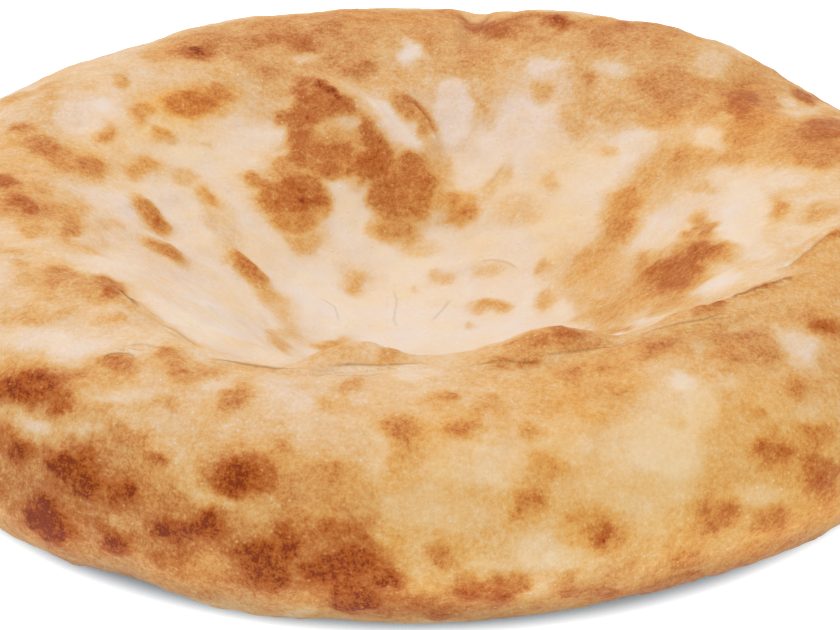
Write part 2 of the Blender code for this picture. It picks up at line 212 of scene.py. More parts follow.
# ---------------------------------------------------------------- browning, by picture pixel
# Each mark: x, y, half-width, half-height, lean in degrees, depth. A depth of 0 is raw dough
# colour, 0.45 golden, 0.7 brown and 1 nearly charred. A toasted area browns only what is still
# paler than its depth, so where two overlap their order counts.
TOASTED_AREAS = (
    # back rim and back slope
    (225, 27, 50, 7, 7, 0.54), (290, 18, 50, 7, 2, 0.58), (340, 13, 40, 6, 0, 0.60),
    (440, 14, 44, 6, 0, 0.60), (540, 14, 40, 6, 0, 0.58), (600, 20, 36, 6, 5, 0.52),
    (660, 29, 40, 6, 15, 0.56), (170, 40, 30, 6, 20, 0.40),
    (215, 48, 75, 26, 8, 0.42), (222, 82, 22, 24, 0, 0.40), (262, 85, 28, 30, 0, 0.38),
    (205, 36, 32, 8, 5, 0.58), (180, 92, 40, 25, 0, 0.34), (245, 40, 42, 10, 4, 0.59),
    (330, 36, 90, 28, 0, 0.59), (370, 20, 62, 12, 0, 0.58), (320, 62, 30, 14, 0, 0.54),
    (390, 15, 60, 8, 0, 0.60), (430, 30, 24, 20, 0, 0.58), (470, 50, 62, 30, 0, 0.52),
    (392, 78, 30, 16, 0, 0.46), (487, 98, 14, 26, 0, 0.36), (535, 34, 36, 18, 0, 0.52),
    (541, 90, 16, 16, 0, 0.35), (625, 40, 80, 26, 5, 0.54), (690, 84, 100, 46, -8, 0.50),
    (780, 74, 62, 17, -30, 0.50), (785, 135, 66, 27, -8, 0.54), (590, 100, 38, 38, 0, 0.38),
    (610, 108, 22, 16, 0, 0.50), (672, 165, 36, 24, 0, 0.42), (395, 40, 26, 16, 0, 0.40),
    (735, 156, 30, 10, 0, 0.46), (650, 190, 24, 18, 0, 0.34), (330, 125, 42, 24, 0, 0.56),
    (428, 166, 24, 10, -50, 0.40), (822, 101, 20, 8, -28, 0.60), (526, 17, 18, 4, 0, 0.74),
    (655, 118, 26, 12, 0, 0.52), (740, 152, 48, 14, 0, 0.50), (820, 118, 30, 10, 20, 0.52),
    (640, 27, 70, 9, 5, 0.60), (752, 112, 28, 14, 0, 0.58), (515, 125, 32, 26, 0, 0.14),
    # left rim and left slope
    (14, 97, 22, 7, 20, 0.46), (56, 85, 24, 8, 25, 0.42), (102, 64, 42, 12, 17, 0.28),
    (20, 158, 40, 20, 0, 0.42), (55, 152, 66, 26, -22, 0.42), (110, 96, 70, 34, 0, 0.18),
    (142, 166, 24, 12, 0, 0.33), (30, 200, 48, 18, 0, 0.50), (62, 205, 26, 14, 0, 0.50),
    (62, 230, 48, 22, -15, 0.33), (67, 279, 52, 11, 5, 0.49), (75, 292, 48, 13, -8, 0.48),
    (62, 300, 74, 24, 0, 0.32), (222, 225, 16, 42, 22, 0.24),
    # right slope and right lip
    (610, 331, 28, 6, 0, 0.50), (655, 323, 24, 6, 20, 0.48), (674, 314, 28, 5, 20, 0.48),
    (618, 222, 44, 16, 60, 0.44), (655, 285, 48, 34, 10, 0.42), (592, 276, 46, 24, 15, 0.38),
    (650, 302, 42, 14, 0, 0.45), (604, 318, 28, 14, 0, 0.46), (668, 306, 32, 13, 15, 0.46),
    (817, 213, 26, 10, 20, 0.30), (834, 292, 16, 18, 0, 0.52), (622, 330, 15, 6, 0, 0.60),
    (812, 274, 58, 20, 24, 0.46), (740, 320, 120, 22, 12, 0.46), (745, 350, 60, 32, 0, 0.48),
    (600, 352, 60, 24, 5, 0.44), (590, 380, 50, 26, 0, 0.48), (820, 385, 50, 56, 0, 0.44),
    (836, 362, 12, 16, 0, 0.48), (560, 394, 60, 26, 0, 0.44), (520, 212, 24, 15, 0, 0.28),
    # front rim, and the dish behind it
    (510, 375, 70, 30, 0, 0.40), (430, 400, 170, 40, 0, 0.30), (180, 368, 34, 20, -35, 0.44),
    (112, 370, 46, 18, 0, 0.40), (100, 402, 80, 24, 0, 0.38), (34, 389, 48, 23, 0, 0.60),
    (250, 368, 36, 14, 0, 0.32), (338, 348, 34, 13, 0, 0.42), (402, 356, 34, 8, 0, 0.38),
    (112, 320, 18, 7, 0, 0.40), (288, 312, 20, 14, -50, 0.30), (265, 296, 9, 16, 25, 0.26),
    (205, 370, 26, 14, 10, 0.50), (262, 372, 30, 10, 0, 0.38), (55, 371, 42, 8, 0, 0.50),
    (300, 335, 24, 10, 0, 0.30), (418, 248, 24, 9, 0, 0.26), (356, 280, 24, 15, 0, 0.18),
    # front wall
    (85, 560, 120, 24, -19, 0.63), (190, 582, 62, 18, -12, 0.63), (238, 586, 46, 10, -8, 0.60),
    (8, 425, 20, 11, 0, 0.62), (420, 520, 420, 110, 0, 0.30), (60, 484, 84, 50, 0, 0.72),
    (135, 512, 84, 42, 0, 0.70), (195, 526, 60, 34, 0, 0.68), (265, 560, 58, 40, 0, 0.68),
    (312, 500, 56, 34, 0, 0.55), (242, 477, 56, 36, 0, 0.56), (332, 553, 62, 52, 0, 0.66),
    (404, 448, 32, 42, 0, 0.44), (450, 607, 92, 12, 2, 0.64), (382, 604, 52, 14, 0, 0.76),
    (590, 602, 120, 10, 7, 0.58), (795, 470, 70, 74, 0, 0.42), (715, 510, 36, 38, 0, 0.42),
    (600, 532, 36, 26, 0, 0.45), (740, 565, 110, 13, 17, 0.58), (446, 557, 22, 22, 0, 0.42),
    (524, 502, 30, 18, 25, 0.42), (537, 468, 24, 14, 0, 0.50), (487, 410, 22, 17, 0, 0.48),
    (195, 588, 32, 10, -12, 0.63), (834, 503, 28, 18, 0, 0.58),
)

# Floury patches, whose depth is the share of the browning that they take away.
PALE_PATCHES = (
    # back rim and back slope
    (411, 53, 13, 11, 0, 0.72), (300, 58, 14, 5, 10, 0.35), (376, 46, 13, 8, 0, 0.22),
    (473, 83, 10, 8, 0, 0.25), (452, 108, 18, 34, 0, 0.58), (545, 66, 20, 8, 0, 0.55),
    (612, 66, 20, 9, 0, 0.48), (712, 62, 21, 16, 0, 0.36), (785, 103, 10, 4, -10, 0.45),
    (724, 120, 9, 7, 0, 0.30), (710, 138, 13, 15, 0, 0.60), (635, 145, 20, 16, 0, 0.50),
    (625, 165, 16, 14, 0, 0.30),
    # long fold
    (348, 124, 13, 8, -10, 0.62), (327, 128, 9, 7, 0, 0.40), (324, 188, 7, 5, 0, 0.30),
    (340, 185, 8, 7, 0, 0.50), (342, 210, 12, 26, -6, 0.85), (352, 198, 7, 12, 0, 0.5),
    (360, 218, 9, 27, 0, 0.72), (438, 214, 9, 8, 0, 0.55), (435, 240, 16, 10, 0, 0.30),
    # left rim and left slope
    (85, 118, 32, 22, 0, 0.35), (105, 106, 12, 8, 0, 0.60), (102, 154, 10, 7, 0, 0.30),
    (186, 152, 24, 8, -20, 0.40), (216, 163, 36, 16, 0, 0.40), (90, 195, 36, 13, 0, 0.35),
    (88, 238, 10, 7, 0, 0.40), (185, 322, 50, 12, -28, 0.65), (235, 330, 30, 18, -20, 0.60),
    (36, 337, 60, 11, 0, 0.60),
    # right slope and right lip
    (775, 179, 24, 9, 5, 0.42), (744, 214, 24, 32, -10, 0.64), (750, 250, 24, 12, -10, 0.50),
    (720, 282, 22, 12, 25, 0.70), (644, 317, 6, 5, 20, 0.40), (795, 340, 22, 12, -20, 0.55),
    (802, 358, 14, 10, 0, 0.42),
    # floor of the dish
    (320, 305, 34, 34, 0, 0.60), (567, 311, 12, 8, 0, 0.60), (582, 308, 12, 8, 0, 0.34),
    # front rim
    (212, 388, 14, 6, 10, 0.35), (82, 390, 13, 9, 0, 0.38), (123, 394, 25, 9, 0, 0.55),
    (272, 388, 20, 14, 0, 0.25), (303, 402, 13, 10, 0, 0.42), (415, 373, 28, 7, 0, 0.42),
    (415, 415, 12, 10, 0, 0.24), (682, 379, 15, 12, 0, 0.75), (728, 381, 15, 9, 0, 0.42),
    (700, 408, 19, 24, 0, 0.52), (808, 412, 18, 11, 0, 0.35),
    # front wall, left
    (36, 419, 24, 8, 0, 0.50), (85, 430, 20, 9, 0, 0.30), (116, 450, 12, 10, 0, 0.14),
    (122, 520, 14, 10, 0, 0.22), (186, 476, 14, 28, 0, 0.24), (211, 499, 24, 10, 0, 0.34),
    (258, 506, 22, 13, 0, 0.26), (290, 430, 20, 10, 0, 0.25), (316, 504, 12, 8, 0, 0.25),
    (299, 574, 6, 14, 0, 0.16), (294, 612, 26, 6, 3, 0.36),
    # front wall, middle
    (380, 455, 9, 26, 0, 0.42), (385, 514, 14, 24, 0, 0.32), (488, 425, 12, 10, 0, 0.30),
    (472, 462, 46, 20, 0, 0.30), (500, 462, 30, 26, 0, 0.36), (460, 500, 60, 34, 0, 0.20),
    (485, 568, 30, 10, 0, 0.40), (540, 548, 24, 22, 0, 0.35), (580, 558, 30, 12, 0, 0.38),
    (596, 575, 26, 8, 8, 0.22), (590, 448, 24, 10, 0, 0.25),
    # front wall, right
    (640, 485, 60, 26, 0, 0.14), (648, 445, 46, 30, 0, 0.36), (668, 450, 40, 24, 0, 0.30),
    (690, 478, 24, 20, 0, 0.25), (752, 436, 9, 8, 0, 0.24), (762, 494, 22, 11, 0, 0.42),
)

# Browned blisters.
BROWN_SPOTS = (
    # left part of the back rim
    (198, 46, 28, 13, 0, 0.60), (196, 53, 22, 8, 0, 0.81), (198, 51, 12, 5, -10, 0.97),
    (156, 54, 14, 5, 0, 0.50), (242, 40, 24, 7, 5, 0.60), (265, 38, 19, 8, 0, 0.76),
    (276, 27, 18, 8, 0, 0.62), (242, 59, 12, 6, -5, 0.62), (272, 71, 11, 7, 0, 0.65),
    (192, 103, 31, 16, 0, 0.68), (214, 94, 15, 13, 0, 0.65), (197, 101, 14, 6, -10, 0.77),
    (121, 79, 8, 7, 0, 0.54), (106, 134, 12, 10, 0, 0.60), (140, 113, 10, 10, -40, 0.58),
    (163, 135, 10, 7, -30, 0.54), (203, 145, 8, 4, 0, 0.30), (143, 167, 15, 8, 5, 0.54),
    (184, 176, 13, 6, -15, 0.34), (206, 196, 13, 7, -45, 0.52), (88, 85, 11, 5, 0, 0.42),
    (52, 92, 10, 7, 0, 0.50), (12, 97, 14, 5, 20, 0.48), (45, 108, 12, 8, 0, 0.46),
    (20, 128, 14, 6, 0, 0.66), (44, 146, 17, 9, -20, 0.72), (60, 158, 15, 9, -35, 0.62),
    (92, 164, 15, 10, -10, 0.70), (4, 180, 13, 8, 0, 0.79), (27, 207, 26, 13, -15, 0.62),
    (23, 204, 17, 7, -20, 0.85), (66, 203, 14, 8, 0, 0.52), (30, 230, 10, 8, 0, 0.52),
    (70, 227, 8, 14, -15, 0.63), (66, 215, 16, 14, 0, 0.50), (90, 249, 12, 5, -30, 0.40),
    (110, 224, 10, 5, 0, 0.34), (14, 250, 14, 4, 0, 0.50), (18, 264, 8, 5, 0, 0.50),
    (268, 112, 9, 5, -35, 0.36),
    # left slope of the dish
    (151, 214, 25, 11, -50, 0.66), (154, 217, 8, 6, -50, 0.87), (168, 251, 22, 8, -28, 0.64),
    (248, 266, 25, 10, -43, 0.68), (267, 292, 14, 7, -62, 0.42), (61, 276, 17, 7, 0, 0.63),
    (38, 278, 16, 6, 0, 0.50), (86, 284, 14, 6, -5, 0.50), (107, 286, 18, 9, -22, 0.72),
    (111, 289, 9, 6, -28, 0.79), (124, 296, 13, 4, -42, 0.54), (32, 316, 24, 8, 10, 0.50),
    (70, 311, 13, 5, 20, 0.50), (115, 319, 10, 5, 0, 0.48), (180, 334, 17, 5, -32, 0.36),
    # middle of the back rim
    (302, 41, 16, 8, -22, 0.79), (357, 69, 17, 10, 5, 0.67), (357, 71, 6, 3, 0, 0.77),
    (425, 38, 11, 9, 0, 0.60), (486, 27, 19, 7, 0, 0.81), (503, 26, 13, 6, 0, 0.83),
    (514, 24, 11, 6, -20, 0.77), (560, 21, 18, 8, -15, 0.86), (560, 20, 10, 4, -15, 0.97),
    (545, 36, 12, 5, 5, 0.60), (466, 52, 8, 7, -40, 0.60), (474, 61, 8, 6, 0, 0.62),
    (484, 107, 6, 6, 0, 0.50), (541, 90, 9, 9, 0, 0.50), (325, 27, 14, 6, 0, 0.66),
    # brown bulge of the long fold
    (326, 88, 17, 6, -22, 0.97), (310, 105, 16, 22, 0, 0.77), (334, 100, 24, 12, -28, 0.79),
    (308, 115, 6, 6, 0, 0.92), (284, 118, 9, 9, -35, 0.66), (292, 130, 10, 20, -10, 0.76),
    (373, 138, 28, 10, -58, 0.79), (300, 150, 12, 22, 0, 0.77), (328, 154, 38, 13, 0, 0.72),
    (326, 168, 22, 11, 0, 0.76), (353, 176, 12, 11, -40, 0.75), (375, 165, 24, 18, -30, 0.80),
    (390, 192, 22, 22, 0, 0.74), (412, 172, 20, 16, -45, 0.73), (420, 189, 16, 19, 0, 0.69),
    (400, 210, 24, 12, 0, 0.70), (396, 229, 22, 12, 0, 0.57), (384, 236, 9, 7, 0, 0.50),
    (412, 236, 14, 7, 0, 0.50), (299, 193, 29, 20, 0, 0.77), (296, 187, 14, 8, 0, 0.87),
    (308, 200, 12, 7, 0, 0.89), (293, 220, 27, 15, 0, 0.64), (306, 242, 15, 10, 0, 0.44),
    (254, 181, 15, 8, -38, 0.65), (270, 195, 14, 14, 0, 0.66), (284, 166, 15, 10, 0, 0.60),
    (324, 209, 12, 8, 0, 0.60), (456, 208, 27, 17, -15, 0.50), (452, 199, 6, 5, 0, 0.64),
    (461, 211, 8, 6, 0, 0.66), (474, 214, 5, 4, 0, 0.64), (437, 154, 7, 30, 8, 0.34),
    (300, 88, 12, 11, 0, 0.77), (425, 178, 16, 12, -45, 0.72), (407, 161, 11, 9, -45, 0.46),
    (472, 213, 8, 6, 0, 0.66),
    # short fold, and the slope on its right
    (411, 108, 22, 10, -38, 0.69), (427, 125, 12, 7, -60, 0.58), (498, 180, 22, 6, 55, 0.28),
    (553, 183, 8, 9, 0, 0.28),
    # right part of the back rim
    (611, 31, 21, 8, 0, 0.64), (622, 25, 8, 4, 0, 0.77), (664, 35, 17, 5, 0, 0.62),
    (667, 50, 15, 6, 0, 0.62), (586, 78, 12, 10, 0, 0.50), (586, 79, 6, 5, 0, 0.66),
    (664, 84, 28, 16, 0, 0.63), (672, 104, 14, 13, 0, 0.62), (688, 78, 11, 10, 0, 0.62),
    (749, 100, 33, 17, 0, 0.62), (745, 99, 17, 13, 0, 0.81), (745, 120, 9, 9, 0, 0.61),
    (804, 97, 14, 6, -28, 0.79), (822, 143, 30, 22, 0, 0.63), (825, 130, 20, 9, -8, 0.79),
    (745, 141, 8, 7, 0, 0.61), (678, 157, 18, 14, 0, 0.50), (679, 157, 7, 8, 0, 0.62),
    (612, 152, 9, 6, 0, 0.38), (575, 122, 12, 13, 0, 0.45), (650, 176, 12, 8, 0, 0.46),
    (683, 92, 9, 8, 0, 0.64), (828, 128, 20, 11, 0, 0.80),
    # right slope of the dish
    (628, 202, 12, 13, 0, 0.63), (622, 224, 12, 14, -20, 0.61), (591, 257, 20, 9, 22, 0.52),
    (703, 186, 12, 5, 0, 0.36), (780, 208, 8, 9, 0, 0.58), (805, 187, 14, 5, 0, 0.24),
    (820, 212, 16, 8, 25, 0.48), (662, 275, 30, 21, 10, 0.58), (706, 248, 32, 14, -8, 0.58),
    (706, 229, 12, 11, 0, 0.62), (664, 268, 25, 12, 15, 0.79), (675, 282, 19, 12, 0, 0.79),
    (703, 248, 20, 9, 12, 0.80), (727, 252, 12, 7, -10, 0.64), (835, 233, 12, 6, 25, 0.64),
    (690, 263, 12, 12, 0, 0.78), (692, 279, 13, 12, 0, 0.60), (688, 236, 9, 6, 0, 0.54),
    (644, 262, 9, 9, 0, 0.54), (670, 294, 13, 8, 0, 0.58),
    # floor of the dish and the lip in front of it
    (352, 282, 14, 9, 0, 0.44), (443, 277, 14, 7, 0, 0.32), (420, 290, 5, 4, 0, 0.22),
    (490, 270, 12, 7, 0, 0.26), (489, 305, 18, 9, 0, 0.52), (470, 324, 6, 6, 0, 0.28),
    (546, 266, 6, 7, 0, 0.42), (546, 300, 7, 9, -20, 0.42), (279, 342, 13, 6, -40, 0.42),
    (296, 322, 6, 5, 0, 0.36), (333, 345, 20, 6, 6, 0.50), (365, 343, 8, 3, 0, 0.44),
    (394, 353, 11, 7, 0, 0.55), (546, 340, 38, 9, 12, 0.64), (516, 343, 15, 6, 15, 0.62),
    (564, 331, 22, 6, -5, 0.79), (532, 359, 16, 5, 12, 0.66), (502, 363, 14, 6, 0, 0.61),
    (606, 335, 16, 9, 0, 0.57), (612, 307, 18, 8, 0, 0.48),
    # top of the front rim
    (709, 307, 22, 5, 20, 0.66), (760, 287, 18, 4, 20, 0.58), (657, 347, 29, 10, 4, 0.64),
    (665, 349, 14, 5, 5, 0.72), (742, 341, 28, 11, -5, 0.62), (764, 354, 16, 9, -25, 0.62),
    (730, 357, 16, 6, -5, 0.62), (825, 326, 24, 13, -15, 0.64), (827, 326, 20, 10, -15, 0.78),
    (797, 388, 10, 8, 0, 0.62), (760, 410, 8, 7, 0, 0.62), (569, 372, 10, 8, 0, 0.62),
    (605, 366, 8, 5, 0, 0.60), (611, 390, 9, 6, 0, 0.50), (117, 364, 17, 11, 0, 0.70),
    (32, 388, 44, 17, 0, 0.78), (35, 387, 44, 14, 0, 0.91), (59, 399, 8, 17, -3, 0.86),
    (163, 354, 9, 7, -20, 0.62), (176, 362, 10, 7, -40, 0.61), (184, 374, 10, 8, 0, 0.62),
    (198, 377, 13, 6, 8, 0.61), (233, 399, 17, 11, 10, 0.68), (246, 386, 9, 8, 0, 0.50),
    (166, 404, 20, 9, -10, 0.53), (171, 406, 6, 5, 0, 0.62), (96, 408, 16, 8, 0, 0.50),
    (354, 385, 14, 7, 10, 0.58), (332, 405, 13, 10, 0, 0.46), (439, 401, 18, 7, 15, 0.52),
    (453, 397, 6, 4, 40, 0.64), (487, 409, 17, 12, 0, 0.50), (277, 424, 13, 8, 0, 0.44),
    (283, 443, 9, 8, -30, 0.63),
    # front wall, left
    (4, 441, 14, 12, 0, 0.79), (20, 451, 13, 13, 0, 0.92), (72, 467, 27, 15, -20, 0.96),
    (87, 483, 15, 14, 0, 0.95), (90, 455, 18, 10, 0, 0.89), (122, 495, 15, 13, 0, 0.93),
    (44, 515, 21, 17, -40, 1.00), (60, 532, 15, 15, -20, 1.00), (118, 543, 15, 11, -20, 0.95),
    (104, 532, 9, 12, 0, 0.79), (177, 530, 27, 13, 0, 0.95), (209, 526, 18, 11, 0, 0.93),
    (199, 546, 18, 8, 0, 0.74), (55, 480, 14, 10, 0, 0.84), (68, 500, 10, 9, 0, 0.80),
    (266, 567, 30, 19, -20, 0.92), (244, 554, 15, 10, -30, 0.90), (247, 476, 37, 24, 0, 0.78),
    (241, 477, 28, 18, -5, 0.91), (155, 459, 14, 8, 0, 0.77), (127, 436, 22, 13, 0, 0.64),
    (121, 439, 8, 6, 0, 0.75), (169, 556, 18, 9, 0, 0.78), (0, 485, 13, 13, 0, 0.78),
    (272, 584, 34, 9, 0, 0.87),
    # front wall, middle
    (289, 541, 13, 18, 0, 0.90), (338, 539, 38, 22, 0, 0.79), (346, 563, 37, 18, 0, 0.93),
    (351, 593, 22, 20, 0, 0.95), (384, 579, 19, 10, 0, 0.90), (330, 472, 20, 10, 0, 0.61),
    (400, 426, 17, 10, 0, 0.66), (409, 442, 8, 10, 0, 0.63), (402, 458, 14, 10, 0, 0.50),
    (461, 427, 16, 13, 0, 0.62), (460, 427, 10, 8, 0, 0.70), (527, 430, 13, 11, 0, 0.51),
    (527, 501, 17, 11, 28, 0.75), (514, 508, 12, 6, 25, 0.50), (536, 469, 16, 10, 0, 0.51),
    (445, 556, 11, 12, 0, 0.71), (467, 588, 17, 13, 0, 0.78), (465, 591, 11, 9, 0, 0.89),
    (496, 591, 19, 15, 8, 0.77), (494, 594, 11, 9, 0, 0.87), (517, 581, 11, 9, 0, 0.70),
    (437, 611, 15, 7, 0, 0.80), (566, 466, 12, 9, 0, 0.46),
    # front wall, right
    (597, 529, 17, 13, -25, 0.62), (602, 533, 10, 9, 0, 0.83), (716, 513, 20, 17, 0, 0.68),
    (713, 521, 7, 7, 0, 0.81), (724, 508, 8, 6, 0, 0.79), (705, 493, 11, 12, 0, 0.62),
    (704, 459, 6, 9, 0, 0.46), (772, 453, 24, 18, 0, 0.57), (771, 451, 16, 12, 0, 0.75),
    (816, 436, 16, 13, 0, 0.68), (820, 473, 20, 18, 0, 0.75), (820, 478, 9, 8, 0, 0.82),
    (771, 522, 19, 13, 5, 0.67), (688, 558, 15, 12, 0, 0.66), (571, 587, 16, 11, 0, 0.69),
    (608, 590, 14, 9, 0, 0.74), (654, 588, 22, 6, 15, 0.75), (690, 578, 16, 5, 15, 0.72),
    (728, 567, 22, 6, 17, 0.68), (770, 552, 26, 6, 18, 0.66), (812, 538, 24, 6, 18, 0.70),
)

# The skin just beyond the long fold, in its shelter, stayed pale: stations, how much of the
# browning is gone, and how far from the fold the strip begins and ends, each with its soft edge.
PALE_STRIP = ((102, 0.083), (100, 0.080), (96, 0.072), (91, 0.0645))
PALE_STRIP_DEPTH = 0.85
PALE_STRIP_START = (0.0004, 0.0012)
PALE_STRIP_END = (0.0080, 0.0040)

# Where the crust is a warmer, more golden colour than usual, and where it is floury and cool,
# by picture pixel: x, y, half-width, half-height, lean and warmth. The sum is kept within -1 to 1.
WARM_AREAS = (
    (600, 470, 260, 120, 0, 1.0), (800, 480, 90, 110, 0, 0.5), (450, 70, 500, 70, 0, -1.0),
    (745, 105, 34, 22, 0, 0.6), (40, 100, 70, 34, 0, -0.8), (60, 300, 110, 40, 0, -0.4),
    (60, 200, 140, 120, 0, -0.3), (560, 210, 60, 60, 0, 0.3), (700, 330, 160, 30, -12, -0.5),
    (330, 385, 330, 60, 0, -0.5), (430, 235, 320, 95, 0, 0.18), (190, 102, 44, 22, 0, 1.2),
    (140, 142, 66, 42, 0, 0.7), (110, 570, 150, 26, -17, -1.0), (240, 598, 60, 12, 0, -0.8),
    (600, 578, 60, 16, 8, -1.0), (50, 523, 28, 24, -30, 1.3), (118, 545, 16, 12, 0, 0.9),
)

# Fine creases where the skin folded under: half-width in mm, depth of the painted shade along the
# crease, how much browner the crust is on the near side than on the far side, and path by picture pixel,
# from left to right.
CREASE_LINES = {
    "under_the_left_lip": (
        0.35, 0.60, 0.04, ((206, 357), (228, 360), (250, 364), (275, 368), (306, 367))),
    "under_the_left_roll": (
        0.30, 0.45, -0.06, ((324, 366), (350, 364), (385, 365), (408, 363), (432, 362))),
    "under_the_right_roll": (0.30, 0.35, -0.04, ((462, 366), (500, 361), (530, 364), (548, 358))),
    "right_roll_foot": (0.35, 0.36, -0.04, ((520, 352), (550, 354), (582, 350), (612, 347), (640, 337))),
    "right_lip_low": (0.35, 0.42, 0.00, ((634, 338), (655, 329), (680, 323), (705, 319), (730, 310))),
    "right_lip_high": (0.35, 0.50, 0.20, ((696, 309), (710, 305), (740, 293), (775, 281), (800, 273))),
    "right_lip_far": (0.35, 0.25, 0.16, ((770, 271), (790, 265), (806, 252), (822, 238), (839, 228))),
    "left_fold": (0.45, 0.75, -0.06, ((112, 287), (122, 292), (131, 299), (142, 309))),
    "left_ridge": (0.50, 0.36, -0.10, ((158, 322), (176, 331), (197, 346))),
    "rim_blister": (0.35, 0.40, 0.12, ((101, 361), (107, 355), (118, 352), (130, 353), (137, 358))),
    "rim_left": (0.35, 0.25, 0.04, ((120, 346), (142, 343), (166, 349), (188, 352))),
    "short_fold_edge": (0.40, 0.06, -0.12, ((398, 98), (414, 104), (425, 116), (434, 132), (438, 146))),
    "floor_short": (0.30, 0.25, 0.00, ((452, 298), (440, 312), (430, 322))),
    "floor_long": (0.30, 0.20, 0.00, ((392, 286), (397, 300), (394, 318), (398, 330))),
    "floor_left": (0.30, 0.20, 0.00, ((318, 296), (335, 306), (340, 322))),
    "floor_right": (0.30, 0.25, 0.04, ((476, 262), (492, 259), (508, 262), (520, 270))),
    "slope_right": (0.40, 0.12, 0.03, ((506, 162), (496, 176), (484, 190))),
    "rim_furrow_a": (0.40, 0.12, 0.00, ((660, 335), (690, 332), (722, 326), (752, 312), (780, 300))),
    "rim_furrow_b": (0.40, 0.16, 0.00, ((690, 341), (722, 336), (748, 330))),
    "rim_furrow_c": (0.40, 0.16, 0.00, ((720, 300), (750, 296), (790, 284), (826, 262))),
    "rim_front": (0.35, 0.20, 0.00, ((300, 378), (330, 374), (362, 376), (392, 371))),
}

# How far a crease is felt on either side and how finely its path is drawn; the share of its
# length over which it fades at each end, and of its reach over which it fades at its sides.
CREASE_REACH = 0.0034
CREASE_STEPS = 4
CREASE_END_SHARE = 0.2
CREASE_SIDE_SHARE = 0.3
FAR_FROM_CREASE = 99.0

# The plain browning under all marks: reach and depth. It is a little uneven: wavelength, swing,
# seed, and the reach from which it is fully so.
TOAST_BY_REACH = (
    (0.0, 0.02), (0.080, 0.11), (0.105, 0.22), (0.125, 0.26), (0.155, 0.32), (0.170, 0.46),
    (0.196, 0.52))
UNEVEN_TOAST = (0.030, 0.05, 41)
UNEVEN_REACH = 0.12

# The edges of the marks wander: wavelength, distance and seeds of each layer.
MARK_DRIFT = ((0.011, 0.0006, (31, 32, 33)), (0.0045, 0.00035, (34, 35, 36)))

# Seeded spots where the picture doesn't reach: ranges of their reach, half-length round the loaf
# in mm, roundness, depth and turn. A place counts as seen if it faces the camera more than this,
# within the picture's width and a margin in pixels.
HIDDEN_SPOTS = 150
HIDDEN_SPOT_SEED = 21
HIDDEN_SPOT_REACH = (0.122, 0.192)
HIDDEN_SPOT_SIZE = (3, 11)
HIDDEN_SPOT_ROUNDNESS = (0.5, 0.9)
HIDDEN_SPOT_DEPTH = (0.42, 0.92)
HIDDEN_SPOT_TURN = (-35, 35)
SEEN_FACING = -0.30
SEEN_MARGIN = 40

# The underside: how brown it is, how uneven (wavelength, swing and seed), how its spots' edges
# wander, and the spots' number, widest distance from the middle, radius in mm and depth.
UNDERSIDE_TOAST = 0.46
UNDERSIDE_UNEVEN = ((0.030, 0.08, 51), (0.012, 0.04, 52))
UNDERSIDE_DRIFT = ((0.010, 0.0012, (53, 54, 55)),)
UNDERSIDE_SPOTS = 60
UNDERSIDE_REACH = 0.122
UNDERSIDE_SPOT_SIZE = (4, 12)
UNDERSIDE_SPOT_DEPTH = (0.6, 0.95)

# How far the darkest spots rise.
SPOT_RISE = 0.0007

# A spot's edge is this many pixels wide on either side, but no more than a share of its size;
# round it lies a wider golden halo. A toasted or warm area is full in its core and eases off.
EDGE_PIXELS = 5.0
WIDEST_EDGE = 0.50
HIDDEN_EDGE = 0.45
HALO_CORE = 0.80
HALO_EDGE = 2.30
HALO_SHARE = 0.13
AREA_CORE = 0.30
AREA_EDGE = 1.20

# ---------------------------------------------------------------- studio
# Each soft box: place, the point it faces, and size. The paper itself glows in a ring round the loaf,
# painted light that narrows the loaf's shadow: distances from the middle where the ring starts, is full,
# begins to fade and has faded.
FLOOR_SIZE = 8.0
KEY_SOFTBOX = ((-0.35, 0.35, 1.25), (0, 0, 0), 1.3)
FILL_SOFTBOX = ((0.5, -1.4, 0.8), (0, 0, 0.03), 1.0)
GLOW_RING = (0.1315, 0.143, 0.155, 0.180)
GLOW_BEYOND_RING = 0.4
COOL_GLOW = (0.66, 0.84, 1.0, 1.0)
WHITE = (1.0, 1.0, 1.0, 1.0)


def linear(hex_colour):
    """Linear RGB of an sRGB hex colour."""
    parts = [int(hex_colour[place:place + 2], 16) / 255 for place in (1, 3, 5)]
    return tuple(part / 12.92 if part <= 0.04045 else ((part + 0.055) / 1.055) ** 2.4 for part in parts)


def add_node(tree, kind, inputs=None, **settings):
    """Add a node, set its settings, and fill or link its inputs by name or number."""
    node = tree.nodes.new(kind)
    for setting, value in settings.items():
        setattr(node, setting, value)
    for name, value in (inputs or {}).items():
        if isinstance(value, bpy.types.NodeSocket):
            tree.links.new(value, node.inputs[name])
        else:
            node.inputs[name].default_value = value
    return node


def remap(tree, value, start, end, low=0.0, high=1.0, **settings):
    """A value mapped evenly from one range to another."""
    return add_node(tree, "ShaderNodeMapRange", {
        "Value": value, "From Min": start, "From Max": end, "To Min": low, "To Max": high},
        **settings).outputs["Result"]


def soft_remap(tree, value, start, end, low=0.0, high=1.0):
    """A value mapped from one range to another with soft ends."""
    return remap(tree, value, start, end, low, high, interpolation_type="SMOOTHSTEP")


def calculate(tree, operation, *values, **settings):
    """The result of one math node."""
    return add_node(
        tree, "ShaderNodeMath", dict(enumerate(values)), operation=operation, **settings).outputs[0]


def noise(tree, place, size, **inputs):
    """Noise whose lumps are about as wide as the given size."""
    return add_node(tree, "ShaderNodeTexNoise", {
        "Vector": place, "Scale": 1 / size, **inputs}).outputs["Fac"]


def stored_value(tree, name):
    """A value that the mesh stores at each of its points, for a material."""
    return add_node(tree, "ShaderNodeAttribute", attribute_name=name).outputs["Fac"]


